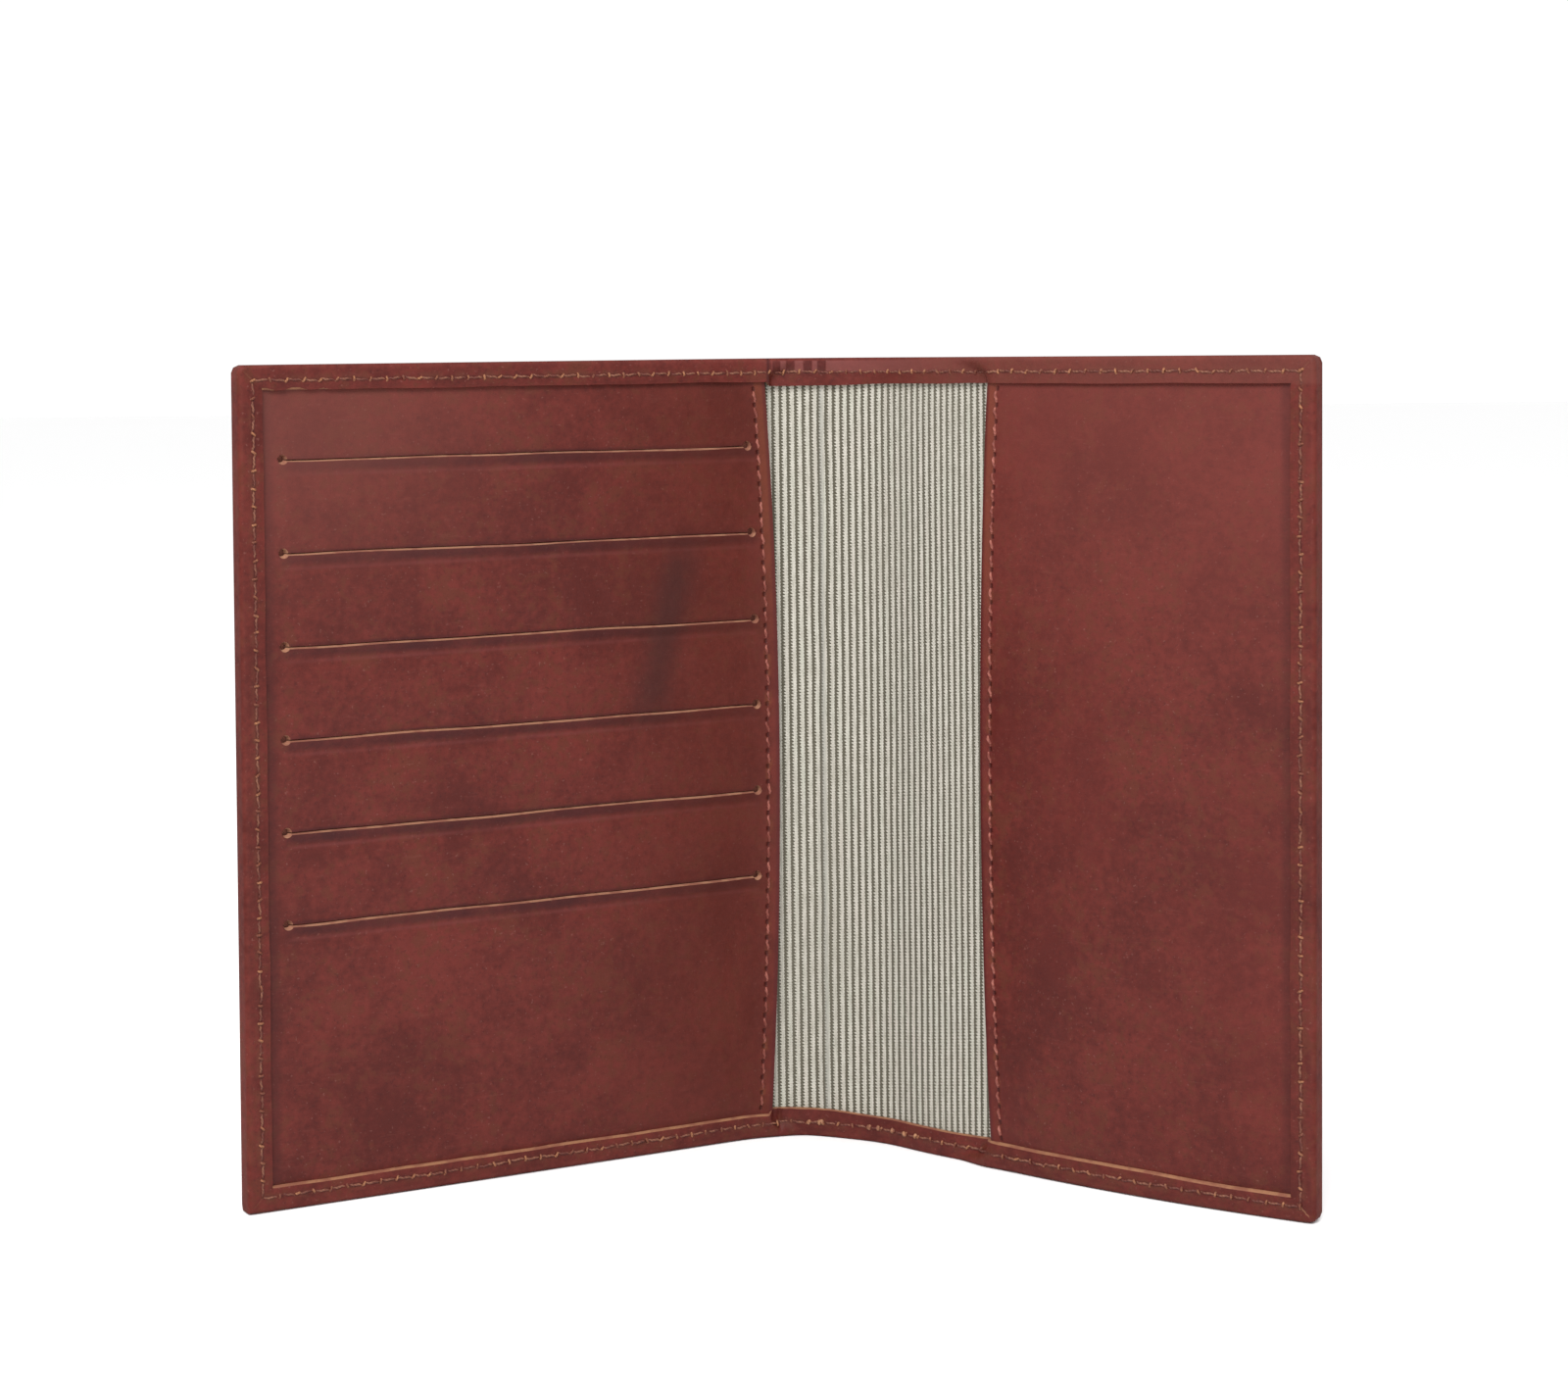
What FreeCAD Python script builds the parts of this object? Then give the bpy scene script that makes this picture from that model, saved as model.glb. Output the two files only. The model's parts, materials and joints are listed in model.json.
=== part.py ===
import FreeCAD, Part
import math
import os

# Passport holder: a turned-edge leather wallet that stands open like a book.
#
# Every layer follows one plan curve, the ribbon: a flat front cover, a round spine and a flat
# back cover. A place on it is given by three numbers, all in millimetres:
#   reach  distance along the ribbon from the fold line; the front side is counted as negative
#   depth  distance in from the outer face of the cover leather
#   z      height above the bottom edge
# The front cover turns about the fold axis. The back cover is the fixed side.

Vec = FreeCAD.Vector

# ---- overall sizes
COVER_HEIGHT = 140.0
COVER_WIDTH = 104.0          # from the fold line to the outer edge, each side
CORNER_RADIUS = 2.5
SPINE_RADIUS = 27.0          # outer face of the spine, as the holder stands open
FRONT_TURN = 27.2            # degrees that the spine turns from the fold line to each cover
BACK_TURN = 38.0

# ---- thickness of each layer, from the outside in
LEATHER = 0.9
REINFORCEMENT = 0.4
LINING = 0.25
PANEL = 0.8
TURN_IN = 0.6                # cover leather, thinned where it is turned over the edge

# ---- the turned edge and its seam
TURN_IN_WIDTH = 4.2
TUCK_CLEARANCE = 0.1         # between a layer's edge and the fold that it is tucked into
EDGE_ROUND = 0.4
SEAM_INSET = 2.4
GROOVE_WIDTH = 0.7
GROOVE_DEPTH = 0.25
THREAD_RADIUS = 0.22
STITCH_PITCH = 2.85
STITCH_LENGTH = 2.3

# ---- pocket panels
CARD_PANEL_REACH = 4.3       # from the fold line to the panel's open edge
PASSPORT_PANEL_REACH = 41.0
PANEL_SEAM_INSET = 2.2
PANEL_SEAM_END_GAP = 1.5     # from the turned edge to the last panel stitch

# ---- card slits
SLIT_COUNT = 6
SLIT_PITCH = 15.35
TOP_SLIT_DROP = 15.9         # from the top edge to the first slit
SLIT_NEAR_MARGIN = 3.65      # from the panel's open edge to the first punched hole
SLIT_FAR_MARGIN = 7.6        # from the second punched hole to the cover's outer edge
SLIT_GAP = 0.5
SLIT_HOLE_RADIUS = 1.0

# ---- card pocket bags, laid behind each other like shingles
BAG_CLOTH = 0.09
BAG_INSIDE = 0.06
BAG_FLOOR_GAP = 5.15         # from the bottom turned edge to the lowest bag
BAG_SIDE_CLEARANCE = 0.5
BAG_FLAP = 3.0               # glued above its slit
BAG_LAP_CLEARANCE = 0.02
BAG_STACK_CLEARANCE = 0.03   # between the stacked bags and the lining

# ---- room for the fold to move, beyond half the thickness of the spine
FOLD_GAP_OUTER = 0.55        # before the front leather and reinforcement
FOLD_GAP_INNER = 1.35        # before the front lining and spine turn-ins

# ---- worked out from the sizes above
SLIT_NEAR = CARD_PANEL_REACH + SLIT_NEAR_MARGIN
SLIT_FAR = COVER_WIDTH - SLIT_FAR_MARGIN
LOWEST_SLIT = COVER_HEIGHT - TOP_SLIT_DROP - (SLIT_COUNT - 1) * SLIT_PITCH
BAG_DEPTH = LOWEST_SLIT - TURN_IN_WIDTH - BAG_FLOOR_GAP
BAG_THICKNESS = 2 * BAG_CLOTH + BAG_INSIDE
BAG_SLOPE = (BAG_THICKNESS + BAG_LAP_CLEARANCE) / SLIT_PITCH
BAG_STACK = BAG_SLOPE * (BAG_DEPTH - SLIT_HOLE_RADIUS) + BAG_THICKNESS
POCKET_SPACE = BAG_STACK + BAG_STACK_CLEARANCE   # between the lining and a pocket panel
LINING_BACK = LEATHER + REINFORCEMENT
LINING_FACE = LINING_BACK + LINING
PANEL_BACK = LINING_FACE + POCKET_SPACE
PANEL_FACE = PANEL_BACK + PANEL
EDGE_FACE = PANEL_FACE + TURN_IN              # turned edge where it lies on a panel
SPINE_FACE = LINING_FACE + TURN_IN            # turned edge where it lies on the lining
FOLD_DEPTH = SPINE_FACE / 2                   # depth of the fold axis
NEUTRAL_RADIUS = SPINE_RADIUS - FOLD_DEPTH
LAYER_INSET = TURN_IN + TUCK_CLEARANCE
LAYER_TOP = COVER_HEIGHT - LAYER_INSET
LAYER_REACH = COVER_WIDTH - LAYER_INSET
CENTRE = Vec(0, -NEUTRAL_RADIUS, 0)           # of the spine's curve; the fold axis is at 0, 0
FRONT, BACK = -1, 1
TURN = {FRONT: FRONT_TURN, BACK: BACK_TURN}
PANEL_REACH = {FRONT: CARD_PANEL_REACH, BACK: PASSPORT_PANEL_REACH}
OUTER_START = {FRONT: FOLD_DEPTH + FOLD_GAP_OUTER, BACK: 0.0}
INNER_START = {FRONT: FOLD_DEPTH + FOLD_GAP_INNER, BACK: 0.0}
SIDE_NAME = {FRONT: "front", BACK: "back"}


# ---- the ribbon

def spine_reach(side):
    """Length of the spine's curve on one side, along the depth of the fold axis."""
    return NEUTRAL_RADIUS * math.radians(TURN[side])


def heading(reach):
    """Degrees that the ribbon has turned at a signed reach."""
    side = FRONT if reach < 0 else BACK
    turned = min(abs(reach), spine_reach(side)) / NEUTRAL_RADIUS
    return side * math.degrees(turned)


def along(reach):
    """Unit vector along the ribbon, away from the front cover's outer edge."""
    angle = math.radians(heading(reach))
    return Vec(math.cos(angle), -math.sin(angle), 0)


def inward(reach):
    """Unit vector from the outer face towards the inside of the holder."""
    angle = math.radians(heading(reach))
    return Vec(-math.sin(angle), -math.cos(angle), 0)


def point(reach, depth, z=0.0):
    """The place in space of a place on the ribbon."""
    side = FRONT if reach < 0 else BACK
    past_spine = max(abs(reach) - spine_reach(side), 0.0)
    place = CENTRE - inward(reach) * NEUTRAL_RADIUS + along(reach) * (side * past_spine)
    return place + inward(reach) * (depth - FOLD_DEPTH) + Vec(0, 0, z)


def local_frame(reach):
    """A frame whose X runs with depth, Y along the ribbon and Z up."""
    turn = FreeCAD.Rotation(Vec(0, 0, 1), -90.0 - heading(reach))
    return FreeCAD.Placement(point(reach, 0.0), turn)


def face_of(points):
    return Part.Face(Part.makePolygon(points + points[:1]))


def sweep(profile, start, end):
    """Carries a profile of (depth, z) points along the ribbon between two signed reaches."""
    bounds = [-math.inf, -spine_reach(FRONT), spine_reach(BACK), math.inf]
    pieces = []
    for low, high in zip(bounds, bounds[1:]):
        a, b = max(start, low), min(end, high)
        if b - a < 1e-6:
            continue
        middle = (a + b) / 2
        is_spine = abs(low) < math.inf and abs(high) < math.inf
        face = face_of([Vec(depth, 0, z) for depth, z in profile])
        face.Placement = local_frame(a if is_spine else middle)
        if is_spine:
            pieces.append(face.revolve(CENTRE, Vec(0, 0, -1), heading(b) - heading(a)))
        else:
            face.translate(point(a, 0.0) - face.Placement.Base)
            pieces.append(face.extrude(along(middle) * (b - a)))
    whole = pieces[0]
    for piece in pieces[1:]:
        whole = whole.fuse(piece)
    return whole.removeSplitter() if len(pieces) > 1 else whole


def box_profile(depth_a, depth_b, z_a, z_b):
    return [(depth_a, z_a), (depth_b, z_a), (depth_b, z_b), (depth_a, z_b)]


def sided(side, near, far):
    """Signed reaches, in rising order, of a stretch of one side of the holder."""
    return (-far, -near) if side == FRONT else (near, far)


def layer(side, depth_a, depth_b, near, far, z_a, z_b):
    start, end = sided(side, near, far)
    return sweep(box_profile(depth_a, depth_b, z_a, z_b), start, end)


def prism(side, outline, depth_a, depth_b):
    """A prism through a flat cover: its outline is (reach, z) points, with reach unsigned."""
    points = [point(side * reach, depth_a, z) for reach, z in outline]
    return face_of(points).extrude(inward(side * COVER_WIDTH) * (depth_b - depth_a))


# ---- cover leather

def corner_waste(side):
    """What is cut away to round the two outer corners of a cover."""
    r, far, top = CORNER_RADIUS, COVER_WIDTH, COVER_HEIGHT
    margin = 1.0
    waste = []
    for z_corner, z_in in ((0.0, r), (top, top - r)):
        z_out = z_corner + math.copysign(margin, z_corner - z_in)
        block = prism(side, [(far - r, z_in), (far + margin, z_in), (far + margin, z_out),
                             (far - r, z_out)], -margin, EDGE_FACE + margin)
        axis_foot = point(side * (far - r), -2 * margin, z_in)
        round_bar = Part.makeCylinder(r, EDGE_FACE + 4 * margin, axis_foot, inward(side * far))
        waste.append(block.cut(round_bar))
    return waste


def notched(depth_a, depth_b, z_a, z_b, grooves, groove_floor):
    """A plate's profile with seam grooves in its outer face, which is at depth_a."""
    points = [(depth_a, z_a)]
    for z in grooves:
        points += [(depth_a, z - GROOVE_WIDTH / 2), (groove_floor, z - GROOVE_WIDTH / 2),
                   (groove_floor, z + GROOVE_WIDTH / 2), (depth_a, z + GROOVE_WIDTH / 2)]
    return points + [(depth_a, z_b), (depth_b, z_b), (depth_b, z_a)]


def leather_profile():
    grooves = (SEAM_INSET, COVER_HEIGHT - SEAM_INSET)
    return notched(0.0, LEATHER, 0.0, COVER_HEIGHT, grooves, GROOVE_DEPTH)


def cover_leather(side):
    """The flat part of the outer leather, with the seam's groove round three sides."""
    start, end = sided(side, spine_reach(side), COVER_WIDTH)
    plate = sweep(leather_profile(), start, end)
    seam = COVER_WIDTH - SEAM_INSET
    groove = layer(side, -GROOVE_DEPTH, GROOVE_DEPTH, seam - GROOVE_WIDTH / 2,
                   seam + GROOVE_WIDTH / 2, SEAM_INSET - GROOVE_WIDTH / 2,
                   COVER_HEIGHT - SEAM_INSET + GROOVE_WIDTH / 2)
    beyond = layer(side, -GROOVE_DEPTH, GROOVE_DEPTH, seam + GROOVE_WIDTH / 2, COVER_WIDTH + 1,
                   0.0, COVER_HEIGHT)
    filled = layer(side, 0.0, GROOVE_DEPTH, seam + GROOVE_WIDTH / 2, COVER_WIDTH,
                   0.0, COVER_HEIGHT)
    plate = plate.cut(groove).cut(beyond).fuse(filled).removeSplitter()
    for waste in corner_waste(side):
        plate = plate.cut(waste)
    outer = [edge for edge in plate.Edges if on_outer_rim(edge, side)]
    return plate.makeFillet(EDGE_ROUND, outer)


def on_outer_rim(edge, side):
    """True for an edge of the cover's outer face that lies on its outline."""
    middle = edge.valueAt((edge.FirstParameter + edge.LastParameter) / 2)
    depth = (middle - point(side * COVER_WIDTH, 0.0)).dot(inward(side * COVER_WIDTH))
    reach = (middle - point(side * COVER_WIDTH, 0.0)).dot(along(side * COVER_WIDTH)) * side
    on_face = abs(depth) < 1e-4
    near_end = reach < -(COVER_WIDTH - spine_reach(side)) + 1e-3
    at_corner = -CORNER_RADIUS < reach and not SEAM_INSET < middle.z < COVER_HEIGHT - SEAM_INSET
    on_outline = (min(abs(middle.z), abs(middle.z - COVER_HEIGHT)) < 1e-4 or abs(reach) < 1e-4
                  or (at_corner and edge.Curve.TypeId == "Part::GeomCircle"))
    return on_face and on_outline and not near_end


def spine_leather(side):
    """The curved part of the outer leather between the fold line and a cover."""
    start, end = sided(side, OUTER_START[side], spine_reach(side))
    return sweep(leather_profile(), start, end)


# ---- turned edges

def turn_in_profile(face_depth, z_edge, z_inner):
    """The section of a turned edge along the top or bottom: a wall, and a flange with a groove."""
    up = math.copysign(1.0, z_edge - z_inner)
    seam = z_edge - up * SEAM_INSET
    half = up * GROOVE_WIDTH / 2
    floor = face_depth - GROOVE_DEPTH
    return [(LEATHER, z_edge), (face_depth, z_edge), (face_depth, seam + half),
            (floor, seam + half), (floor, seam - half), (face_depth, seam - half),
            (face_depth, z_inner), (face_depth - TURN_IN, z_inner),
            (face_depth - TURN_IN, z_edge - up * TURN_IN), (LEATHER, z_edge - up * TURN_IN)]


def long_edges():
    """The top and bottom edges: name, height of the edge, height of the flange's cut edge."""
    return (("top", COVER_HEIGHT, COVER_HEIGHT - TURN_IN_WIDTH),
            ("bottom", 0.0, TURN_IN_WIDTH))


def long_turn_in(side, z_edge, z_inner):
    """The top or bottom turned edge over a pocket panel, mitred at the outer corner."""
    start, end = sided(side, PANEL_REACH[side], COVER_WIDTH)
    strip = sweep(turn_in_profile(EDGE_FACE, z_edge, z_inner), start, end)
    far, near = COVER_WIDTH, COVER_WIDTH - TURN_IN_WIDTH
    strip = strip.cut(prism(side, [(far, z_edge), (far, z_inner), (near, z_inner)],
                            0.0, EDGE_FACE + 1))
    for waste in corner_waste(side):
        strip = strip.cut(waste)
    return strip


def side_turn_in(side):
    """The turned edge along the outer side, mitred at both ends."""
    far = COVER_WIDTH
    seam = far - SEAM_INSET
    half = GROOVE_WIDTH / 2
    floor = EDGE_FACE - GROOVE_DEPTH
    flange_back = EDGE_FACE - TURN_IN
    plan = [(far, LEATHER), (far, EDGE_FACE), (seam + half, EDGE_FACE), (seam + half, floor),
            (seam - half, floor), (seam - half, EDGE_FACE), (far - TURN_IN_WIDTH, EDGE_FACE),
            (far - TURN_IN_WIDTH, flange_back), (far - TURN_IN, flange_back),
            (far - TURN_IN, LEATHER)]
    strip = face_of([point(side * reach, depth) for reach, depth in plan])
    strip = strip.extrude(Vec(0, 0, COVER_HEIGHT))
    for _, z_edge, z_inner in long_edges():
        near = far - TURN_IN_WIDTH
        strip = strip.cut(prism(side, [(far, z_edge), (near, z_edge), (near, z_inner)],
                                0.0, EDGE_FACE + 1))
    for waste in corner_waste(side):
        strip = strip.cut(waste)
    return strip


def spine_turn_ins(side):
    """Both turned edges where they lie on the bare lining, each with a riser to the panel."""
    strips = []
    for _, z_edge, z_inner in long_edges():
        start, end = sided(side, INNER_START[side], PANEL_REACH[side])
        strip = sweep(turn_in_profile(SPINE_FACE, z_edge, z_inner), start, end)
        riser_start, riser_end = sided(side, PANEL_REACH[side] - TURN_IN, PANEL_REACH[side])
        riser = sweep(box_profile(SPINE_FACE - GROOVE_DEPTH, EDGE_FACE, z_inner, z_edge),
                      riser_start, riser_end)
        strips.append(strip.fuse(riser).removeSplitter())
    return strips


# ---- flat layers inside the covers

def reinforcement(side):
    return layer(side, LEATHER, LINING_BACK, OUTER_START[side], LAYER_REACH,
                 LAYER_INSET, LAYER_TOP)


def lining(side):
    return layer(side, LINING_BACK, LINING_FACE, INNER_START[side], LAYER_REACH,
                 LAYER_INSET, LAYER_TOP)


def seam_filler(side):
    """Three strips that fill the seam as thick as the pocket's space."""
    inner_reach = COVER_WIDTH - TURN_IN_WIDTH
    bottom = layer(side, LINING_FACE, PANEL_BACK, PANEL_REACH[side], LAYER_REACH,
                   LAYER_INSET, TURN_IN_WIDTH)
    top = layer(side, LINING_FACE, PANEL_BACK, PANEL_REACH[side], LAYER_REACH,
                COVER_HEIGHT - TURN_IN_WIDTH, LAYER_TOP)
    outer = layer(side, LINING_FACE, PANEL_BACK, inner_reach, LAYER_REACH,
                  TURN_IN_WIDTH, COVER_HEIGHT - TURN_IN_WIDTH)
    return [bottom, top, outer]


def pocket_panel(side):
    """A plain pocket panel with the groove of the seam along its open edge."""
    panel = layer(side, PANEL_BACK, PANEL_FACE, PANEL_REACH[side], LAYER_REACH,
                  LAYER_INSET, LAYER_TOP)
    seam = PANEL_REACH[side] + PANEL_SEAM_INSET
    groove = layer(side, PANEL_FACE - GROOVE_DEPTH, PANEL_FACE + GROOVE_DEPTH,
                   seam - GROOVE_WIDTH / 2, seam + GROOVE_WIDTH / 2,
                   TURN_IN_WIDTH, COVER_HEIGHT - TURN_IN_WIDTH)
    return panel.cut(groove)


# ---- card slits and their pockets

def slit_heights():
    return [COVER_HEIGHT - TOP_SLIT_DROP - n * SLIT_PITCH for n in range(SLIT_COUNT)]


def card_panel():
    """The front pocket panel, with a thin slit and two punched holes for each card."""
    panel = pocket_panel(FRONT)
    through = PANEL + 2.0
    for z in slit_heights():
        panel = panel.cut(layer(FRONT, PANEL_BACK - 1, PANEL_FACE + 1, SLIT_NEAR, SLIT_FAR,
                                z - SLIT_GAP / 2, z + SLIT_GAP / 2))
        for reach in (SLIT_NEAR, SLIT_FAR):
            panel = panel.cut(Part.makeCylinder(SLIT_HOLE_RADIUS, through,
                                                point(-reach, PANEL_BACK - 1, z),
                                                inward(-reach)))
    return panel


def card_pocket(z_slit):
    """A folded bag of thin cloth: it opens at its slit and slopes back behind the next bag."""
    bag = BAG_THICKNESS
    lip_low, lip_high = z_slit - SLIT_HOLE_RADIUS, z_slit + SLIT_HOLE_RADIUS
    z_fold = z_slit - BAG_DEPTH

    def front_leaf(z):
        return PANEL_BACK - BAG_SLOPE * (lip_low - z)

    profile = [
        (front_leaf(lip_low), lip_low),
        (front_leaf(z_fold), z_fold),
        (front_leaf(z_fold) - bag, z_fold),
        (front_leaf(lip_low) - bag, lip_low),
        (PANEL_BACK - BAG_CLOTH, lip_high),
        (PANEL_BACK - BAG_CLOTH, lip_high + BAG_FLAP),
        (PANEL_BACK, lip_high + BAG_FLAP),
        (PANEL_BACK, lip_high),
        (front_leaf(lip_low) - bag + BAG_CLOTH, lip_low),
        (front_leaf(z_fold) - bag + BAG_CLOTH, z_fold + BAG_CLOTH),
        (front_leaf(z_fold) - BAG_CLOTH, z_fold + BAG_CLOTH),
        (front_leaf(lip_low) - BAG_CLOTH, lip_low),
    ]
    near = CARD_PANEL_REACH + BAG_SIDE_CLEARANCE
    far = COVER_WIDTH - TURN_IN_WIDTH - BAG_SIDE_CLEARANCE
    return sweep(profile, -far, -near)


# ---- thread

def stitch(reach, z, floor, faces_in, upright):
    """One half-round stitch, centred at a place, flat on the floor of its groove."""
    bulge = THREAD_RADIUS if faces_in else -THREAD_RADIUS
    half = STITCH_LENGTH / 2
    if upright:
        ends = [Vec(floor, -THREAD_RADIUS, -half), Vec(floor, THREAD_RADIUS, -half)]
        crown, run = Vec(floor + bulge, 0, -half), Vec(0, 0, STITCH_LENGTH)
    else:
        ends = [Vec(floor, -half, -THREAD_RADIUS), Vec(floor, -half, THREAD_RADIUS)]
        crown, run = Vec(floor + bulge, -half, 0), Vec(0, STITCH_LENGTH, 0)
    outline = Part.Wire([Part.Arc(ends[0], crown, ends[1]).toShape(),
                         Part.LineSegment(ends[1], ends[0]).toShape()])
    bar = Part.Face(outline).extrude(run)
    bar.Placement = FreeCAD.Placement(Vec(0, 0, z), FreeCAD.Rotation()).multiply(
        local_frame(reach))
    return bar


def stations(low, high):
    """Centres of the stitches that fit between two ends, at about the stitch pitch."""
    count = max(int((high - low) / STITCH_PITCH), 1)
    pitch = (high - low) / count
    return [low + (n + 0.5) * pitch for n in range(count)]


def edge_seam_places(side):
    """Where the stitches of a cover's edge seam lie: reach, z, over a panel, upright."""
    seam_reach = COVER_WIDTH - SEAM_INSET
    riser = PANEL_REACH[side] - TURN_IN
    places = []
    for z in (SEAM_INSET, COVER_HEIGHT - SEAM_INSET):
        if riser - INNER_START[side] > STITCH_PITCH:
            places += [(reach, z, False, False) for reach in stations(INNER_START[side], riser)]
        places += [(reach, z, True, False) for reach in stations(PANEL_REACH[side], seam_reach)]
    places += [(seam_reach, z, True, True)
               for z in stations(SEAM_INSET, COVER_HEIGHT - SEAM_INSET)]
    return places


def edge_needle_thread(side):
    """The stitches of the edge seam that show inside the holder."""
    made = []
    for reach, z, on_panel, upright in edge_seam_places(side):
        floor = (EDGE_FACE if on_panel else SPINE_FACE) - GROOVE_DEPTH
        made.append(stitch(side * reach, z, floor, True, upright))
    return made


def edge_bobbin_thread(side):
    """The stitches of the same seam that show on the outer face."""
    return [stitch(side * reach, z, GROOVE_DEPTH, False, upright)
            for reach, z, _, upright in edge_seam_places(side)]


def panel_thread(side):
    """The stitches along a pocket panel's open edge."""
    low = TURN_IN_WIDTH + PANEL_SEAM_END_GAP
    reach = PANEL_REACH[side] + PANEL_SEAM_INSET
    return [stitch(side * reach, z, PANEL_FACE - GROOVE_DEPTH, True, True)
            for z in stations(low, COVER_HEIGHT - low)]


# ---- the whole holder

def build():
    nodes = {}
    for side in (FRONT, BACK):
        name = SIDE_NAME[side]
        nodes[name + "_cover_leather"] = cover_leather(side)
        nodes[name + "_spine_leather"] = spine_leather(side)
        nodes[name + "_reinforcement"] = reinforcement(side)
        nodes[name + "_lining"] = lining(side)
        nodes[name + "_seam_filler"] = seam_filler(side)
        for edge, z_edge, z_inner in long_edges():
            nodes[name + "_turned_edge_" + edge] = long_turn_in(side, z_edge, z_inner)
        nodes[name + "_turned_edge_side"] = side_turn_in(side)
        nodes[name + "_spine_turned_edges"] = spine_turn_ins(side)
        nodes[name + "_edge_needle_thread"] = edge_needle_thread(side)
        nodes[name + "_edge_bobbin_thread"] = edge_bobbin_thread(side)
    nodes["card_panel"] = card_panel()
    nodes["card_panel_thread"] = panel_thread(FRONT)
    nodes["passport_panel"] = pocket_panel(BACK)
    nodes["passport_panel_thread"] = panel_thread(BACK)
    for n, z in enumerate(slit_heights(), start=1):
        nodes["card_pocket_" + str(n)] = card_pocket(z)
    return nodes


def solids_of(made):
    shapes = made if isinstance(made, list) else [made]
    return [solid for shape in shapes for solid in shape.Solids]


def export(nodes):
    """Sets the middle of the base at the origin and writes one file for each node."""
    os.makedirs("parts", exist_ok=True)
    compounds = {name: Part.makeCompound(solids_of(made)) for name, made in nodes.items()}
    box = Part.makeCompound(list(compounds.values())).optimalBoundingBox(False)
    shift = Vec(-box.Center.x, -box.Center.y, -box.ZMin)
    for name, compound in compounds.items():
        compound.translate(shift)
        compound.exportStep("parts/" + name + ".step")
        solids = compound.Solids
        valid = all(solid.isValid() for solid in solids)
        print(f"{name:28s} solids {len(solids):3d}  volume {compound.Volume:9.2f}  valid {valid}")
    print(f"box {box.XLength:.3f} x {box.YLength:.3f} x {box.ZLength:.3f}")
    print(f"fold axis at x {shift.x:.4f} y {shift.y:.4f}")


export(build())
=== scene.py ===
import json
import math

import bpy
import numpy as np
from mathutils import Matrix


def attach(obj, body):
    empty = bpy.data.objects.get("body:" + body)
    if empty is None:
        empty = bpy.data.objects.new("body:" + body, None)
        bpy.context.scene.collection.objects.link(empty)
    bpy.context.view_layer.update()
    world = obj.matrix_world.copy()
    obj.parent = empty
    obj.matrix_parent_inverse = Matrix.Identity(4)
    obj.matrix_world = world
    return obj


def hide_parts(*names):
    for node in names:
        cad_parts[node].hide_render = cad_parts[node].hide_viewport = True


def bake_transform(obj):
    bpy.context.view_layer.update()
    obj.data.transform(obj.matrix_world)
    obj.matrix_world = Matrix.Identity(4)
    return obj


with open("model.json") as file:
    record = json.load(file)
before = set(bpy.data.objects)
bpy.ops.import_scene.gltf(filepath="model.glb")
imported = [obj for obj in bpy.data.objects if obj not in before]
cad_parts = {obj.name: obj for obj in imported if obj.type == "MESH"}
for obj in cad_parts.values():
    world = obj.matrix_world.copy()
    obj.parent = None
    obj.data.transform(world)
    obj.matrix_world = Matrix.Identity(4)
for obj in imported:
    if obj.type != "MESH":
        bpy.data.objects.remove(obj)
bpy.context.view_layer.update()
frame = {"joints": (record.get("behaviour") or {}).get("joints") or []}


# ---- Cover leather
# One rectangle of smooth brown cowhide, 0.9 mm thick, that makes both covers and the spine. Its
# edges are thinned, folded over the panels and the lining, mitred at the corners and sewn down.

MM = 0.001
HEIGHT = 140.0                   # every size below is in millimetres
REACH = 104.0                    # from the fold line to the outer edge of each cover
LEATHER = 0.9
TURNED = 4.2                     # width of the folded edge
EDGE_FACE = 3.85                 # thickness where the edge is folded over a pocket panel
UNDERSIDE = 1.7                  # how far the folded edge's underside lies above the leather


def lines(low, high, step):
    """Evenly spaced lines between two places, both ends included."""
    return list(np.linspace(low, high, max(int(round((high - low) / step)), 1) + 1))


def points_of(piece):
    points = np.empty(len(piece.data.vertices) * 3)
    piece.data.vertices.foreach_get("co", points)
    return points.reshape(-1, 3)


def set_points(piece, points):
    piece.data.vertices.foreach_set("co", np.ascontiguousarray(points, dtype=np.float64).ravel())
    piece.data.update()


def modify(piece, kind, **settings):
    """Adds a modifier to a piece and applies it."""
    bpy.ops.object.select_all(action="DESELECT")
    bpy.context.view_layer.objects.active = piece
    piece.select_set(True)
    modifier = piece.modifiers.new("step", kind)
    for key, value in settings.items():
        setattr(modifier, key, value)
    bpy.ops.object.modifier_apply(modifier=modifier.name)


def laid_flat(name, columns, rows, thickness, depth):
    """A sheet laid flat, outer face down: reach along X, height along Y, depth along Z."""
    columns = sorted(set(np.round(columns, 4)))
    rows = sorted(set(np.round(rows, 4)))
    bpy.ops.object.select_all(action="DESELECT")
    bpy.ops.mesh.primitive_grid_add(x_subdivisions=len(columns) - 1,
                                    y_subdivisions=len(rows) - 1, size=1)
    piece = bpy.context.object
    piece.name = piece.data.name = name
    points = points_of(piece)
    across = np.rint((points[:, 0] + 0.5) * (len(columns) - 1)).astype(int)
    along = np.rint((points[:, 1] + 0.5) * (len(rows) - 1)).astype(int)
    points[:, 0], points[:, 1] = np.array(columns)[across], np.array(rows)[along]
    points[:, 2] = depth + thickness
    set_points(piece, points)
    modify(piece, "SOLIDIFY", thickness=thickness, offset=-1, use_even_offset=False)
    return piece


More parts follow.
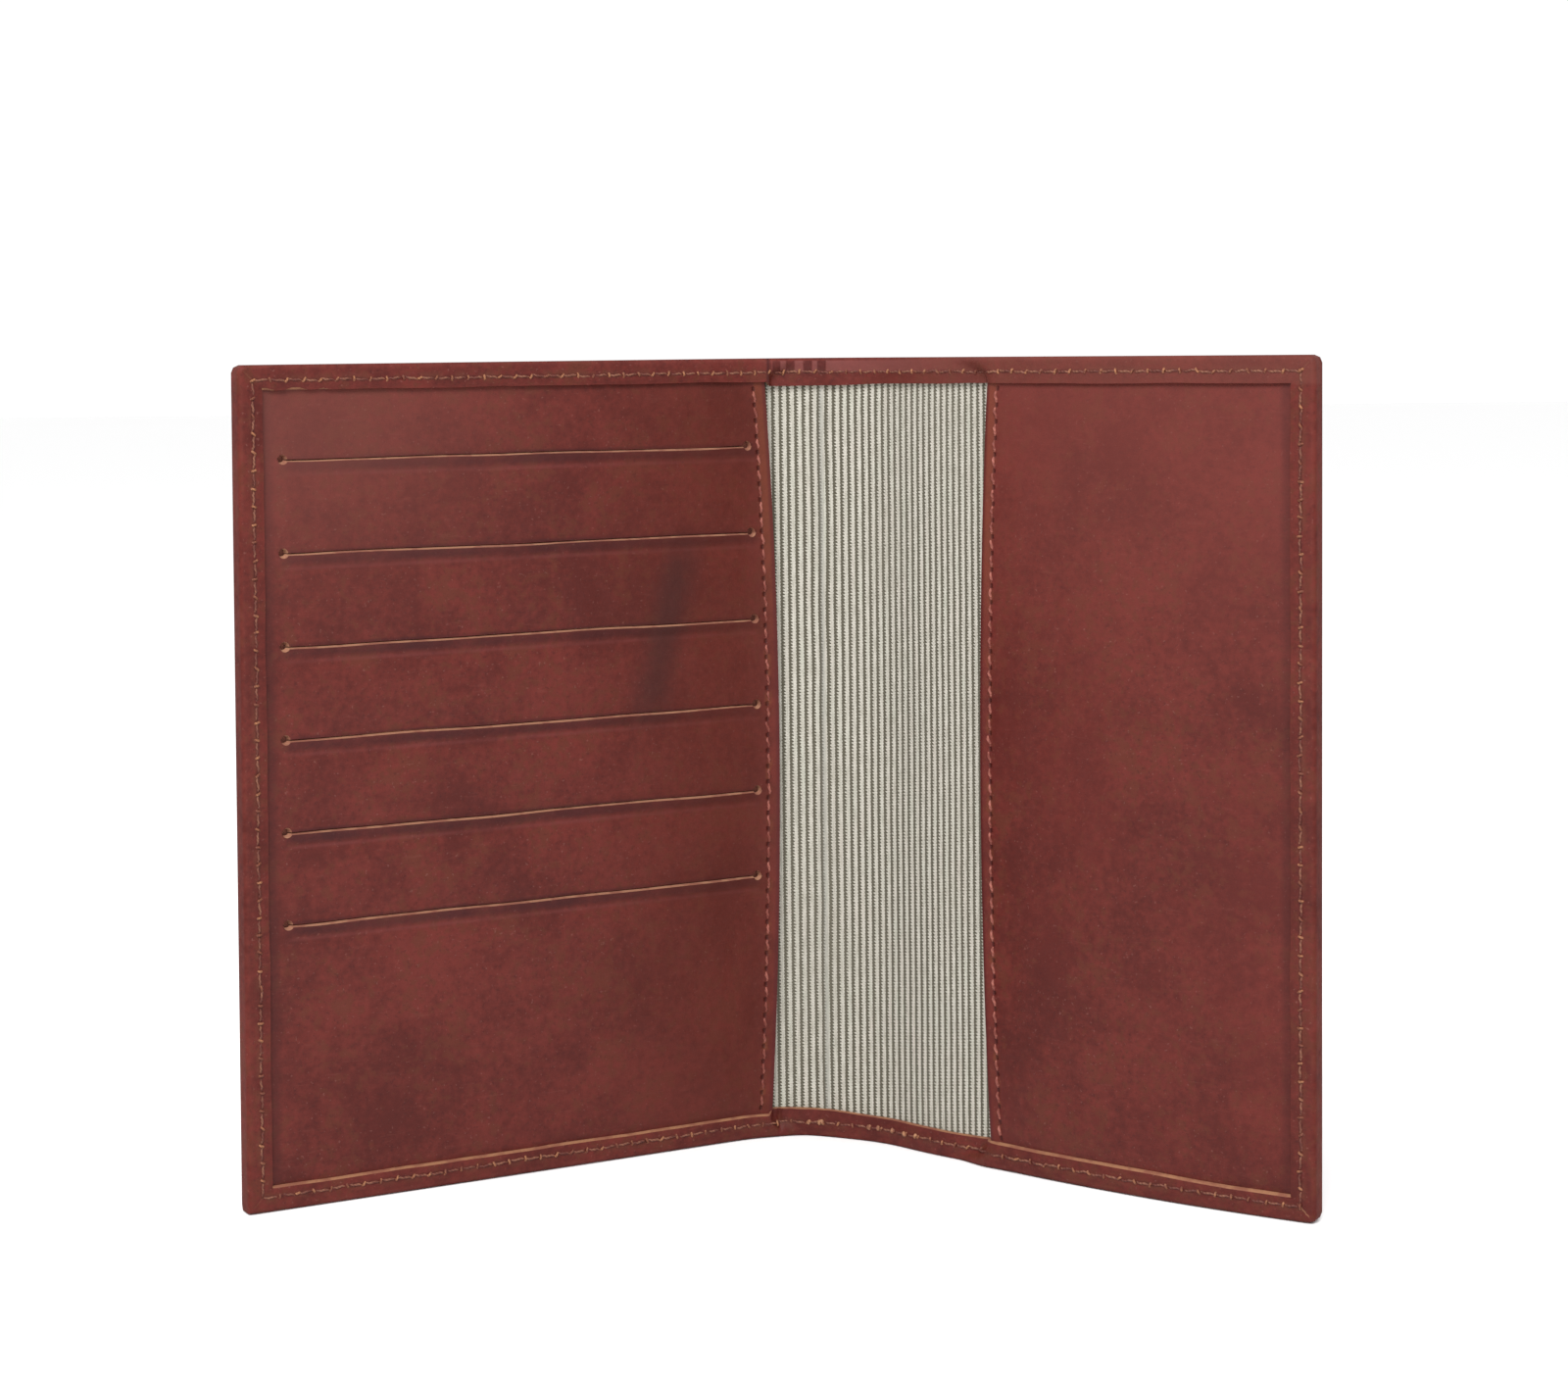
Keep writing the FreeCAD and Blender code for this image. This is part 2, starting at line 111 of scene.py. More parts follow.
edge_lines = [0, 1.25, 1.8, 2.5, 3.2, 3.75, TURNED, 4.8]
spine_lines = lines(-25, -6, 0.5) + lines(-6, 8, 0.25) + lines(8, 25, 0.5)
columns = [-REACH + e for e in edge_lines] + lines(-97.6, -25, 1.4) + spine_lines
columns += lines(25, 39.5, 1.4) + lines(40, 42, 0.25) + lines(43.2, 97.6, 1.4)
columns += [REACH - e for e in edge_lines]
rows = edge_lines + lines(6.4, HEIGHT - 6.4, 1.7) + [HEIGHT - e for e in edge_lines]

cover = laid_flat("cover_leather", columns, rows, LEATHER, 0.0)


def select(piece, mode="FACE"):
    """Makes a piece the only one selected, with none of its own parts selected."""
    bpy.ops.object.select_all(action="DESELECT")
    bpy.context.view_layer.objects.active = piece
    piece.select_set(True)
    bpy.ops.object.mode_set(mode="EDIT")
    bpy.ops.mesh.select_mode(type=mode)
    bpy.ops.mesh.select_all(action="DESELECT")
    bpy.ops.object.mode_set(mode="OBJECT")


select(cover)


def pick(elements, test):
    for element in elements:
        element.select = bool(test(element))


def edit(operator, **settings):
    bpy.ops.object.mode_set(mode="EDIT")
    operator(**settings)
    bpy.ops.object.mode_set(mode="OBJECT")


def on_turned_edge(face):
    x, y, _ = face.center
    return face.normal.z > 0.9 and min(REACH - abs(x), y, HEIGHT - y) < TURNED


pick(cover.data.polygons, on_turned_edge)
for rise in (UNDERSIDE, EDGE_FACE - LEATHER - UNDERSIDE):
    edit(bpy.ops.mesh.extrude_region_move, TRANSFORM_OT_translate={"value": (0, 0, rise)})


def is_cut_end(face):
    x, y, z = face.center
    return abs(face.normal.z) < 0.5 and min(REACH - abs(x), y, HEIGHT - y) > 3.9 and z > LEATHER


cover.data.materials.append(None)
cover.data.materials.append(None)
for face in cover.data.polygons:
    face.material_index = 1 if is_cut_end(face) else 0


def bevel_along(piece, test, offset, segments):
    """Rounds the edges whose two ends both pass a test."""
    select(piece, "EDGE")
    points = points_of(piece)
    chosen = test(points)
    for edge in piece.data.edges:
        edge.select = bool(chosen[edge.vertices[0]] and chosen[edge.vertices[1]])
    edit(bpy.ops.mesh.bevel, offset=offset, segments=segments, profile=0.5)


def inset_of(points):
    """Distances from the nearest side edge and from the nearest long edge."""
    return REACH - abs(points[:, 0]), np.minimum(points[:, 1], HEIGHT - points[:, 1])


def on_outline(points, depth):
    side, level = inset_of(points)
    return (np.minimum(side, level) < 1e-3) & (abs(points[:, 2] - depth) < 1e-3)


bevel_along(cover, lambda p: on_outline(p, 0.0), 0.6, 4)
bevel_along(cover, lambda p: on_outline(p, EDGE_FACE), 0.75, 5)

SPINE_EDGE_FACE = 2.35           # thickness where the edge is folded over the lining alone
SEAM = 2.5                       # from the outer edge to the seam
CARD_EDGE = -4.3                 # the open edges of the two pocket panels
PASSPORT_EDGE = 41.0
CUT_END = 0.62                   # how much of the folded edge's cut end shows
PLEATS = (-3.0, -0.25, 3.0, 5.6)  # reach of each small one at the top of the spine


def smooth(low, high, values):
    t = np.clip((values - low) / (high - low), 0, 1)
    return t * t * (3 - 2 * t)


def ripple(values, seed, scale):
    """A gentle, repeatable wander between about -1 and 1."""
    t = np.asarray(values) / scale
    return (np.sin(t * 1.7 + seed) + np.sin(t * 2.9 + seed * 2.3) * 0.7
            + np.sin(t * 5.3 + seed * 4.1) * 0.4) / 2.1


def edge_width(reach, top):
    """How wide the folded edge is along the top or the bottom."""
    if top:
        over = 0.75 * smooth(-5.0, -4.3, reach) - 0.4 * smooth(2, 30, reach)
        return 4.1 + over + 0.09 * ripple(reach, 2.0, 9)
    over = 0.75 * smooth(-6.1, -5.4, reach) - 0.4 * smooth(3, 14, reach)
    over += 0.1 * smooth(38, 42, reach) - 0.45 * smooth(62, 98, reach)
    return 4.22 + over + 0.07 * ripple(reach, 5.0, 8)


def edge_slant(reach, top):
    """How far the cut end of the folded edge slopes back, which shows its undyed inside."""
    if top:
        return -0.05 + 0.4 * smooth(-88, -90, reach) * (ripple(reach, 1.0, 1.5) > 0)
    return 0.30 - 0.18 * smooth(-6, -5, reach) + 0.26 * smooth(41, 45, reach)


def edge_thickness(reach, level):
    """How thick the folded edge is along the top and the bottom, stepping down on the lining."""
    ease = 0.5 + 7.5 * smooth(3.4, 0.5, level)
    over_lining = smooth(CARD_EDGE - 0.3, CARD_EDGE + ease, reach)
    over_lining = over_lining * (1 - smooth(PASSPORT_EDGE + 2 - ease, PASSPORT_EDGE + 2.5, reach))
    return EDGE_FACE + (SPINE_EDGE_FACE - EDGE_FACE) * over_lining


points = points_of(cover)
side, level = inset_of(points)
top = points[:, 1] > HEIGHT / 2
reach = points[:, 0].copy()
inset = np.minimum(side, level)
raised = points[:, 2] > LEATHER + 1e-3
flange = raised & (points[:, 2] > EDGE_FACE - 1e-3)
at_cut = raised & (abs(inset - TURNED) < 1e-3)
points[at_cut & ~flange, 2] = EDGE_FACE - CUT_END

# the cut edge wanders a little, and the seam draws the leather down between swells
for at_top in (False, True):
    band = (top == at_top) & (level < 4.7) & (side > TURNED - 0.1)
    wanted = edge_width(reach, at_top)
    share = smooth(SEAM, TURNED, level)
    moved = level + (wanted - TURNED) * share * (1 - smooth(TURNED, 4.8, level))
    moved -= edge_slant(reach, at_top) * (at_cut & flange)
    points[band, 1] = np.where(at_top, HEIGHT - moved, moved)[band]
side_band = (side < 4.7) & (level > TURNED - 0.1)
wander = 0.1 * ripple(points[:, 1], 1.3, 10) * smooth(SEAM, TURNED, side)
points[side_band, 0] -= (np.sign(reach) * wander)[side_band]

run = np.where(side < level, points[:, 1], reach)
valley = np.exp(-((inset - SEAM) / 0.55) ** 2)
lift = -0.16 * valley + 0.05 * ripple(run, 3.0, 3.1) * smooth(0.4, 1.5, inset)
lift -= 0.12 * smooth(SEAM + 0.4, TURNED, inset)
points[flange, 2] += lift[flange]

# thinner where it lies on the lining, with small pleats at the top of the spine
thick = edge_thickness(reach + np.where(top, 0, 1.1), level)
level_edge = level < 5.0
ratio = np.where(level_edge, (thick - LEATHER) / (EDGE_FACE - LEATHER), 1.0)
points[raised, 2] = (LEATHER + (points[:, 2] - LEATHER) * ratio)[raised]
pleats = sum(smooth(1.0, 0.6, abs(reach - at)) for at in PLEATS)
pleats = pleats * smooth(0.35, 0.9, level) * smooth(2.6, 2.0, level)
plump = smooth(-4.4, -3.6, reach) * (1 - smooth(7.5, 12, reach)) * smooth(0.0, 1.2, level)
pleated = flange & top & level_edge
points[pleated, 2] += (0.14 * plump - 0.12 * pleats)[pleated]
buckle = np.exp(-((reach - 0.8) / 2.4) ** 2) - 1.3 * np.exp(-((reach + 3.7) / 0.45) ** 2)
buckled = flange & ~top & level_edge
points[buckled, 2] += (0.3 * buckle * smooth(0.3, 2.0, level))[buckled]

# a shallow cut at each mitre, and the seam's groove on the outer face
mitre = flange & (abs(side - level) < 0.09) & (side < TURNED) & (side > 0.9)
points[mitre, 2] -= 0.22
outer = (points[:, 2] < 1e-3) & (inset > 1.2)
points[outer, 2] += (0.12 * valley + 0.04 * ripple(reach + points[:, 1] * 0.7, 0.4, 16))[outer]

# the radius of each corner, by side and by bottom or top
CORNERS = {(-1, -1): 0.4, (-1, 1): 1.3, (1, -1): 1.2, (1, 1): 1.3}


def round_corners(points):
    """Draws the four square corners in to their own radius."""
    for (side, level), radius in CORNERS.items():
        cx = side * (REACH - radius)
        cy = HEIGHT - radius if level > 0 else radius
        a = (points[:, 0] - cx) * side / radius
        b = (points[:, 1] - cy) * level / radius
        near = (a > 0) & (b > 0)
        a, b = a[near], b[near]
        far = np.maximum(a, b)
        angle = np.where(a >= b, b / np.maximum(a, 1e-9), 2 - a / np.maximum(b, 1e-9))
        angle = angle * math.pi / 4
        points[near, 0] = cx + side * radius * far * np.cos(angle)
        points[near, 1] = cy + level * radius * far * np.sin(angle)
    return points


set_points(cover, round_corners(points))

# the face of the folded edge, on which the stitches lie
folded_face = points_of(cover)
folded_face = folded_face[folded_face[:, 2] > 1.6]


class Wire:
    """One value in a finish. Sums written on it add Math nodes."""

    def __init__(self, finish, socket):
        self.finish, self.socket = finish, socket

    def math(self, operation, *values):
        node = self.finish.node("ShaderNodeMath", {"operation": operation}, values)
        return Wire(self.finish, node.outputs[0])

    def __add__(self, other):
        return self.math("ADD", self, other)

    def __radd__(self, other):
        return self.math("ADD", other, self)

    def __sub__(self, other):
        return self.math("SUBTRACT", self, other)

    def __rsub__(self, other):
        return self.math("SUBTRACT", other, self)

    def __mul__(self, other):
        return self.math("MULTIPLY", self, other)

    def __rmul__(self, other):
        return self.math("MULTIPLY", other, self)

    def __truediv__(self, other):
        return self.math("DIVIDE", self, other)

    def __abs__(self):
        return self.math("ABSOLUTE", self)

    def sin(self):
        return self.math("SINE", self)

    def fract(self):
        return self.math("FRACT", self)

    def least(self, other):
        return self.math("MINIMUM", self, other)

    def most(self, other):
        return self.math("MAXIMUM", self, other)

    def rise(self, low, high):
        """0 below low, 1 above high, smooth between."""
        node = self.finish.node("ShaderNodeMapRange", {"interpolation_type": "SMOOTHSTEP"},
                                {"Value": self, "From Min": low, "From Max": high})
        return Wire(self.finish, node.outputs["Result"])

    def hump(self, centre, width):
        """1 at the centre, falling to 0 at a width to either side."""
        return 1 - abs(self - centre).rise(0.0, width)


class Finish:
    """A material, built from the flat work's own coordinates."""

    def __init__(self, name):
        self.material = bpy.data.materials.new(name)
        self.material.use_nodes = True
        self.tree = self.material.node_tree
        self.tree.nodes.clear()
        lie = self.node("ShaderNodeAttribute", {"attribute_name": "lie"})
        self.lie = lie.outputs["Vector"]
        split = self.node("ShaderNodeSeparateXYZ", {}, [self.lie])
        self.reach, self.height, self.depth = (Wire(self, out) for out in split.outputs)

    def node(self, kind, settings=None, sockets=None):
        """Adds a node: first its settings, then the values or links of its sockets."""
        node = self.tree.nodes.new(kind)
        for key, value in (settings or {}).items():
            setattr(node, key, value)
        given = sockets.items() if isinstance(sockets, dict) else enumerate(sockets or [])
        for key, value in given:
            if isinstance(value, Wire):
                value = value.socket
            if isinstance(value, bpy.types.NodeSocket):
                self.tree.links.new(value, node.inputs[key])
            else:
                node.inputs[key].default_value = value
        return node

    def noise(self, scale, detail=2.0, rough=0.5, stretch=(1, 1, 1), shift=(0, 0, 0)):
        """Even noise about 0.5, with scale in repeats per millimetre."""
        spot = self.node("ShaderNodeMapping", {}, {"Vector": self.lie, "Location": shift,
                                                   "Scale": stretch})
        node = self.node("ShaderNodeTexNoise", {}, {"Vector": spot.outputs[0], "Scale": scale,
                                                    "Detail": detail, "Roughness": rough})
        return Wire(self, node.outputs[0])

    def mix(self, share, first, second):
        node = self.node("ShaderNodeMix", {"data_type": "RGBA"}, {0: share})
        for key, value in ((6, first), (7, second)):
            if isinstance(value, bpy.types.NodeSocket):
                self.tree.links.new(value, node.inputs[key])
            else:
                node.inputs[key].default_value = (*value, 1)
        return node.outputs[2]

    def bump(self, height, strength, distance, below=None):
        sockets = {"Height": height, "Strength": strength, "Distance": distance * MM}
        if below is not None:
            sockets["Normal"] = below
        return self.node("ShaderNodeBump", {}, sockets).outputs[0]

    def surface(self, colour, roughness, normal=None, **constants):
        sockets = {"Base Color": colour, "Roughness": roughness}
        if normal is not None:
            sockets["Normal"] = normal
        sockets.update({key.replace("_", " "): value for key, value in constants.items()})
        shader = self.node("ShaderNodeBsdfPrincipled", {}, sockets)
        out = self.node("ShaderNodeOutputMaterial")
        self.tree.links.new(shader.outputs[0], out.inputs[0])
        return self.material


def hide_colours(finish, deeper=0.0):
    """The dyed hide: red-brown with browner clouds, faint streaks and pale specks."""
    broad = finish.noise(0.035, 3.0, 0.55, (1, 1.25, 1), (deeper, 3, 0))
    patch = finish.noise(0.13, 4.0, 0.6, (1, 0.8, 1), (7, deeper, 0))
    mottle = finish.noise(0.75, 4.0, 0.62, (1, 1, 1), (deeper, 17, 0))
    tone = (broad * 0.36 + patch * 0.32 + mottle * 0.32).rise(0.39, 0.62)
    colour = finish.mix(tone, (0.065, 0.0100, 0.0076), (0.112, 0.0178, 0.0134))
    brown = patch * 0.45 + finish.noise(0.5, 3.0, 0.6, (1, 1, 1), (31, 12, 0)) * 0.55
    colour = finish.mix(brown.rise(0.5, 0.60) * 0.6, colour, (0.082, 0.0200, 0.0105))
    scratch = finish.noise(0.5, 3.0, 0.7, (0.35, 2.2, 1), (5, 9, 0)).rise(0.60, 0.72)
    colour = finish.mix(scratch * 0.16, colour, (0.155, 0.045, 0.034))
    pit = finish.noise(1.5, 3.0, 0.6, (1, 1, 1), (9, 3, 0)).rise(0.58, 0.68)
    colour = finish.mix(pit * 0.42, colour, (0.042, 0.008, 0.007))
    speck = finish.noise(1.9, 2.0, 0.5, (1, 1, 1), (2, 8, 0)).rise(0.66, 0.74)
    return finish.mix(speck * 0.32, colour, (0.20, 0.085, 0.068))


def grain(finish, strength=0.35):
    """Fine closed pores over a slow unevenness, as on glazed calf."""
    pores = finish.node("ShaderNodeTexVoronoi", {"feature": "DISTANCE_TO_EDGE"},
                        {"Vector": finish.lie, "Scale": 2.6, "Randomness": 1.0})
    pores = Wire(finish, pores.outputs[0]).rise(0.0, 0.25)
    fibre = finish.noise(4.5, 4.0, 0.7)
    slow = finish.noise(0.22, 3.0, 0.5, (1, 1, 1), (3, 3, 3))
    normal = finish.bump(slow, 0.5, 0.5)
    return finish.bump(pores * 0.4 + fibre * 0.6, strength, 0.05, normal)


def raw_edge(name, colour):
    """A cut edge: undyed, fibrous and matt."""
    finish = Finish(name)
    fibre = finish.noise(3.0, 4.0, 0.7, (1, 1, 2))
    dyed = finish.noise(0.35, 2.0, 0.5, (1, 1, 1), (4, 1, 0)).rise(0.42, 0.60)
    shade = finish.mix(fibre, tuple(c * 0.62 for c in colour), tuple(c * 1.25 for c in colour))
    shade = finish.mix(dyed * 0.6, shade, (0.15, 0.035, 0.022))
    return finish.surface(shade, 0.85, finish.bump(fibre, 0.5, 0.1))


finish = Finish("turned_leather")
colour = hide_colours(finish, 11.0)
from_side = REACH - abs(finish.reach)
from_level = finish.height.least(HEIGHT - finish.height)
inset = from_side.least(from_level)
rubbed = inset.hump(0.35, 0.9) * finish.noise(0.4, 3.0, 0.6).rise(0.4, 0.65)
colour = finish.mix(rubbed * 0.3, colour, (0.140, 0.030, 0.022))
waxed = finish.noise(0.3, 3.0, 0.6, (1, 1, 1), (3, 1, 0)).rise(0.42, 0.6)
waxed = inset.hump(SEAM - 0.3, 1.1) * waxed
colour = finish.mix(waxed * 0.5, colour, (0.092, 0.028, 0.016))
pressed = finish.noise(0.9, 2.0, 0.6, (1, 1, 1), (8, 8, 0)).rise(0.35, 0.6)
pressed = inset.hump(SEAM, 0.55) * pressed
colour = finish.mix(pressed * 0.5, colour, (0.040, 0.008, 0.007))
# painted shade in the dents of the small pleats at the top of the spine
pleat_shade = sum(abs(finish.reach - at).rise(0.95, 0.7) for at in PLEATS)
spine_top = finish.height.rise(HEIGHT - 2.6, HEIGHT - 2.2) * inset.rise(0.35, 0.6)
spine_top = spine_top * finish.depth.rise(1.2, 1.5)
colour = finish.mix(pleat_shade * spine_top * 0.4, colour, (0.042, 0.007, 0.007))
# painted highlight on the raised folds between those pleats
pleat_highlight = finish.reach.rise(-4.2, -3.6) * (1 - pleat_shade)
colour = finish.mix(pleat_highlight * spine_top * (1 - finish.reach.rise(20, 45)) * 0.5, colour,
                    (0.175, 0.055, 0.050))
lit = finish.reach.rise(2, 40) * finish.height.rise(HEIGHT - 5, HEIGHT - 4.2)
colour = finish.mix(lit * finish.depth.rise(1.2, 1.5) * 0.45, colour, (0.130, 0.036, 0.027))
# painted shadow at the step where the folded edge drops onto the lining, along the top
step_shadow = (finish.reach + 4.7).hump(0.0, 0.7) * finish.depth.rise(1.2, 1.5)
colour = finish.mix(step_shadow * finish.height.rise(60, 61) * 0.7, colour, (0.030, 0.005, 0.005))
mitred = (from_side - from_level).hump(0.0, 0.26) * inset.rise(0.9, 1.2)
mitred = mitred * (1 - inset.rise(2.4, 3.2)) * finish.depth.rise(2.6, 3.0)
low_right = finish.reach.rise(0.0, 1.0) * (1 - finish.height.rise(20.0, 21.0))
colour = finish.mix(mitred * (low_right * 0.5 + 0.12), colour, (0.28, 0.13, 0.07))
roughness = finish.noise(0.5, 3.0, 0.6).rise(0.2, 0.8) * 0.14 + 0.42
roughness = roughness + (1 - inset.rise(0.1, 0.9)) * 0.35
pulled = finish.noise(0.75, 2.0, 0.5, (1, 1, 0.5), (1, 5, 0)) * inset.hump(SEAM, 1.6)
normal = finish.bump(pulled, 0.6, 0.35, grain(finish))
cover.data.materials[0] = finish.surface(colour, roughness, normal, Specular_IOR_Level=0.15)
cover.data.materials[1] = raw_edge("cut_edge", (0.27, 0.118, 0.056))
select(cover)
bpy.ops.object.shade_smooth_by_angle(angle=math.radians(40))

FOLD_DEPTH = 1.075               # depth of the fold axis
SPINE_RADIUS = 25.9
FRONT_BEND = math.radians(28.2)
BACK_BEND = math.radians(48.0)
BACK_END = math.radians(30.5)    # the back cover bows, so its outer part turns back to this
TWIST = 1.5                      # how far the front cover's outer corners lean, top and bottom
BOW = 2.4                        # how far the spine's back half bellies towards the inside


def heading(reach):
    """How far the leather has turned at a reach from the fold line, in radians."""
    if reach < 0:
        return -min(-reach / SPINE_RADIUS, FRONT_BEND)
    bend_end = BACK_BEND * SPINE_RADIUS
    if reach < bend_end:
        return reach / SPINE_RADIUS
    bowed = (reach - bend_end) / (REACH - bend_end)
    return BACK_BEND + (BACK_END - BACK_BEND) * bowed


def walked():
    """The line that the leather follows, seen from above, from one end to the other."""
    step, ease = 0.25, 3.0
    reaches = np.arange(-REACH - 6, REACH + 6 + step, step)
    turns = [np.mean([heading(r + off) for off in np.linspace(-ease, ease, 9)]) for r in reaches]
    turns = np.array(turns)
    x = np.concatenate([[0], np.cumsum(np.cos((turns[1:] + turns[:-1]) / 2) * step)])
    y = np.concatenate([[0], np.cumsum(-np.sin((turns[1:] + turns[:-1]) / 2) * step)])
    middle = np.argmin(abs(reaches))
    fold_x, fold_y, _ = frame["joints"][0]["pos_m"]
    return reaches, x - x[middle] + fold_x / MM, y - y[middle] + fold_y / MM, turns


LINE = walked()


def place(reach, height, depth):
    """Where a spot on the flat work comes to lie when the holder stands open, in metres."""
    x, y, turn = (np.interp(reach, LINE[0], LINE[k]) for k in (1, 2, 3))
    lean = TWIST * np.clip(-reach / REACH, 0, 1) ** 1.5 * (2 * height / HEIGHT - 1)
    inner = depth - FOLD_DEPTH + lean
    y = y - BOW * smooth(-6, 12, reach) * (1 - smooth(22, 50, reach))
    return np.stack([x - np.sin(turn) * inner, y - np.cos(turn) * inner, height], axis=-1) * MM


def stand_up(piece):
    """Bends a flat piece to the open holder's shape. Its points keep their flat places as "lie",
    in millimetres, which the finishes read."""
    points = points_of(piece)
    lie = piece.data.attributes.new("lie", "FLOAT_VECTOR", "POINT")
    lie.data.foreach_set("vector", points.astype(np.float32).ravel())
    set_points(piece, place(points[:, 0], points[:, 1], points[:, 2]))


stand_up(cover)


def across_fold(piece):
    """Bakes a piece's placement into its points. The places either side of the fold are worked out
    but not used.
    """
    start, end = (place(np.array(r), np.array(0.0), np.array(FOLD_DEPTH)) for r in (14.0, -14.0))
    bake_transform(piece)


across_fold(cover)
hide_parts("front_cover_leather", "front_spine_leather", "back_cover_leather",
            "back_spine_leather", "front_turned_edge_top", "front_turned_edge_bottom",
            "front_turned_edge_side", "front_spine_turned_edges", "back_turned_edge_top",
            "back_turned_edge_bottom", "back_turned_edge_side", "back_spine_turned_edges")


# ---- Reinforcement board
# A thin board of pressed leather fibre that keeps the covers flat. It is glued to the inside of the
# hide and tucked under its folded edges, and is out of sight in the finished holder.

TUCK = 0.7                       # from the hide's outer edge to the edges of what it holds
BOARD = 0.4

wide_columns = lines(-REACH + TUCK, -26, 6) + lines(-25, 25, 1.0) + lines(26, REACH - TUCK, 6)
board = laid_flat("reinforcement_board", wide_columns, lines(TUCK, HEIGHT - TUCK, 14), BOARD,
                  LEATHER)
finish = Finish("pressed_fibre")
colour = finish.mix(finish.noise(2.0, 4.0, 0.7), (0.22, 0.12, 0.07), (0.40, 0.25, 0.15))
board.data.materials.append(finish.surface(colour, 0.9, finish.bump(finish.noise(3.0), 0.4, 0.1)))
stand_up(board)
across_fold(board)
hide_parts("front_reinforcement", "back_reinforcement")


# ---- Striped lining
# Cotton ticking, cream with dark lines along its warp, in a twill weave. It is glued over the board
# and tucked under the folded edges, and it creases where the spine folds.

CLOTH = 0.25
CREASE = 5.2                     # how far the crease lies from the fold line
STRIPE = 1.385                   # from one dark line to the next

cloth_columns = lines(-REACH + TUCK, -26, 4) + lines(-25, 46, 0.25) + lines(47, REACH - TUCK, 4)
cloth = laid_flat("striped_lining", cloth_columns, lines(TUCK, HEIGHT - TUCK, 3.0), CLOTH,
                  LEATHER + BOARD)
points = points_of(cloth)
reach, height = points[:, 0], points[:, 1]
crease_at = CREASE + 0.25 * ripple(height, 1.0, 22) - 0.7 * smooth(30, 4, height)
ridge = np.exp(-((reach - crease_at) / 0.55) ** 2)
ridge -= 0.55 * np.exp(-((reach - crease_at - 1.2) / 0.5) ** 2)
free = smooth(3.5, 9, height) * smooth(HEIGHT - 3.5, HEIGHT - 9, height)
points[:, 2] += 0.34 * ridge * (0.35 + 0.65 * free)
puff = smooth(-4, 2, reach) * (1 - smooth(34, 41, reach)) * free
points[:, 2] += puff * (0.10 + 0.07 * ripple(height + reach * 0.8, 0.7, 17))
set_points(cloth, points)

finish = Finish("striped_ticking")
leaning = (finish.reach - CREASE).hump(0.0, 5.0)
drift = (finish.noise(0.05, 1.0, 0.4, (0.5, 1, 0)) - 0.5) * 0.7 * leaning
along = finish.reach + drift
twill = ((finish.height * (2 * math.pi / 0.58) + finish.reach * 3.0).sin()
         + (finish.noise(3.0, 1.0, 0.5, (1, 1, 0)) - 0.5) * 2.4)
band = (along / STRIPE + twill * 0.085).fract() - 0.5
wavy = abs(band) + twill * 0.04
dark = 1 - wavy.rise(0.19, 0.26)
thread = (finish.reach * (2 * math.pi / 0.345)).sin() * 0.5 + 0.5
pick_line = (finish.height * (2 * math.pi / 0.42) + (finish.reach * 4.0).sin() * 0.8).sin()
pick_line = pick_line * 0.5 + 0.5
slub = finish.noise(1.1, 3.0, 0.6, (2.5, 0.35, 1))
cream = finish.mix(slub.rise(0.3, 0.7), (0.355, 0.337, 0.283), (0.47, 0.447, 0.39))
tinge = finish.noise(0.22, 2.0, 0.5, (2.0, 0.5, 1), (4, 4, 4))
cream = finish.mix(tinge.rise(0.5, 0.75) * 0.25, cream, (0.38, 0.41, 0.33))
cream = finish.mix((1 - tinge).rise(0.5, 0.75) * 0.25, cream, (0.45, 0.39, 0.345))
cream = finish.mix(thread * pick_line * 0.22, cream, (0.30, 0.28, 0.23))
ink = finish.mix(twill * 0.25 + 0.5, (0.052, 0.046, 0.029), (0.098, 0.087, 0.060))
colour = finish.mix(dark, cream, ink)
# painted grey shade along the lining's crease
crease_shade = (finish.reach - CREASE - 0.15).hump(0.0, 0.6)
colour = finish.mix(crease_shade * 0.6, colour, (0.235, 0.230, 0.205))
soil = finish.noise(0.05, 2.0, 0.6, (1, 0.4, 1), (5, 5, 5)).rise(0.45, 0.75)
colour = finish.mix(soil * 0.14, colour, (0.22, 0.20, 0.16))
weave = thread * 0.5 + pick_line * 0.5 - dark * 0.5
normal = finish.bump(weave, 0.55, 0.12)
cloth.data.materials.append(finish.surface(colour, 0.9, normal, Sheen_Weight=0.12))
select(cloth)
bpy.ops.object.shade_smooth_by_angle(angle=math.radians(50))
stand_up(cloth)
across_fold(cloth)
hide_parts("front_lining", "back_lining")


# ---- Seam fillers
# Strips of folded cloth and card under the two pocket panels, glued in so that the seam is as
# thick as what the pockets hold. They can't be seen in the finished holder.

LINING_FACE = LEATHER + BOARD + CLOTH
POCKET = 0.897                   # the room between the lining and a pocket panel
PANEL_BACK = LINING_FACE + POCKET


def joined(made, name):
    bpy.ops.object.select_all(action="DESELECT")
    for part in made:
        part.select_set(True)
    bpy.context.view_layer.objects.active = made[0]
    bpy.ops.object.join()
    piece = bpy.context.view_layer.objects.active
    piece.name = piece.data.name = name
    return piece


def filler(name, side, start):
    """Strips along the outer side, top and bottom of one panel."""
    far, near = REACH - TUCK, REACH - TURNED
    strips = [(start, far, TUCK, TURNED), (start, far, HEIGHT - TURNED, HEIGHT - TUCK),
              (near, far, TURNED, HEIGHT - TURNED)]
    made = []
    for x0, x1, y0, y1 in strips:
        low, high = sorted((side * x0, side * x1))
        made.append(laid_flat("strip", lines(low, high, 1.2), lines(y0, y1, 20), POCKET,
                              LINING_FACE))
    return joined(made, name)


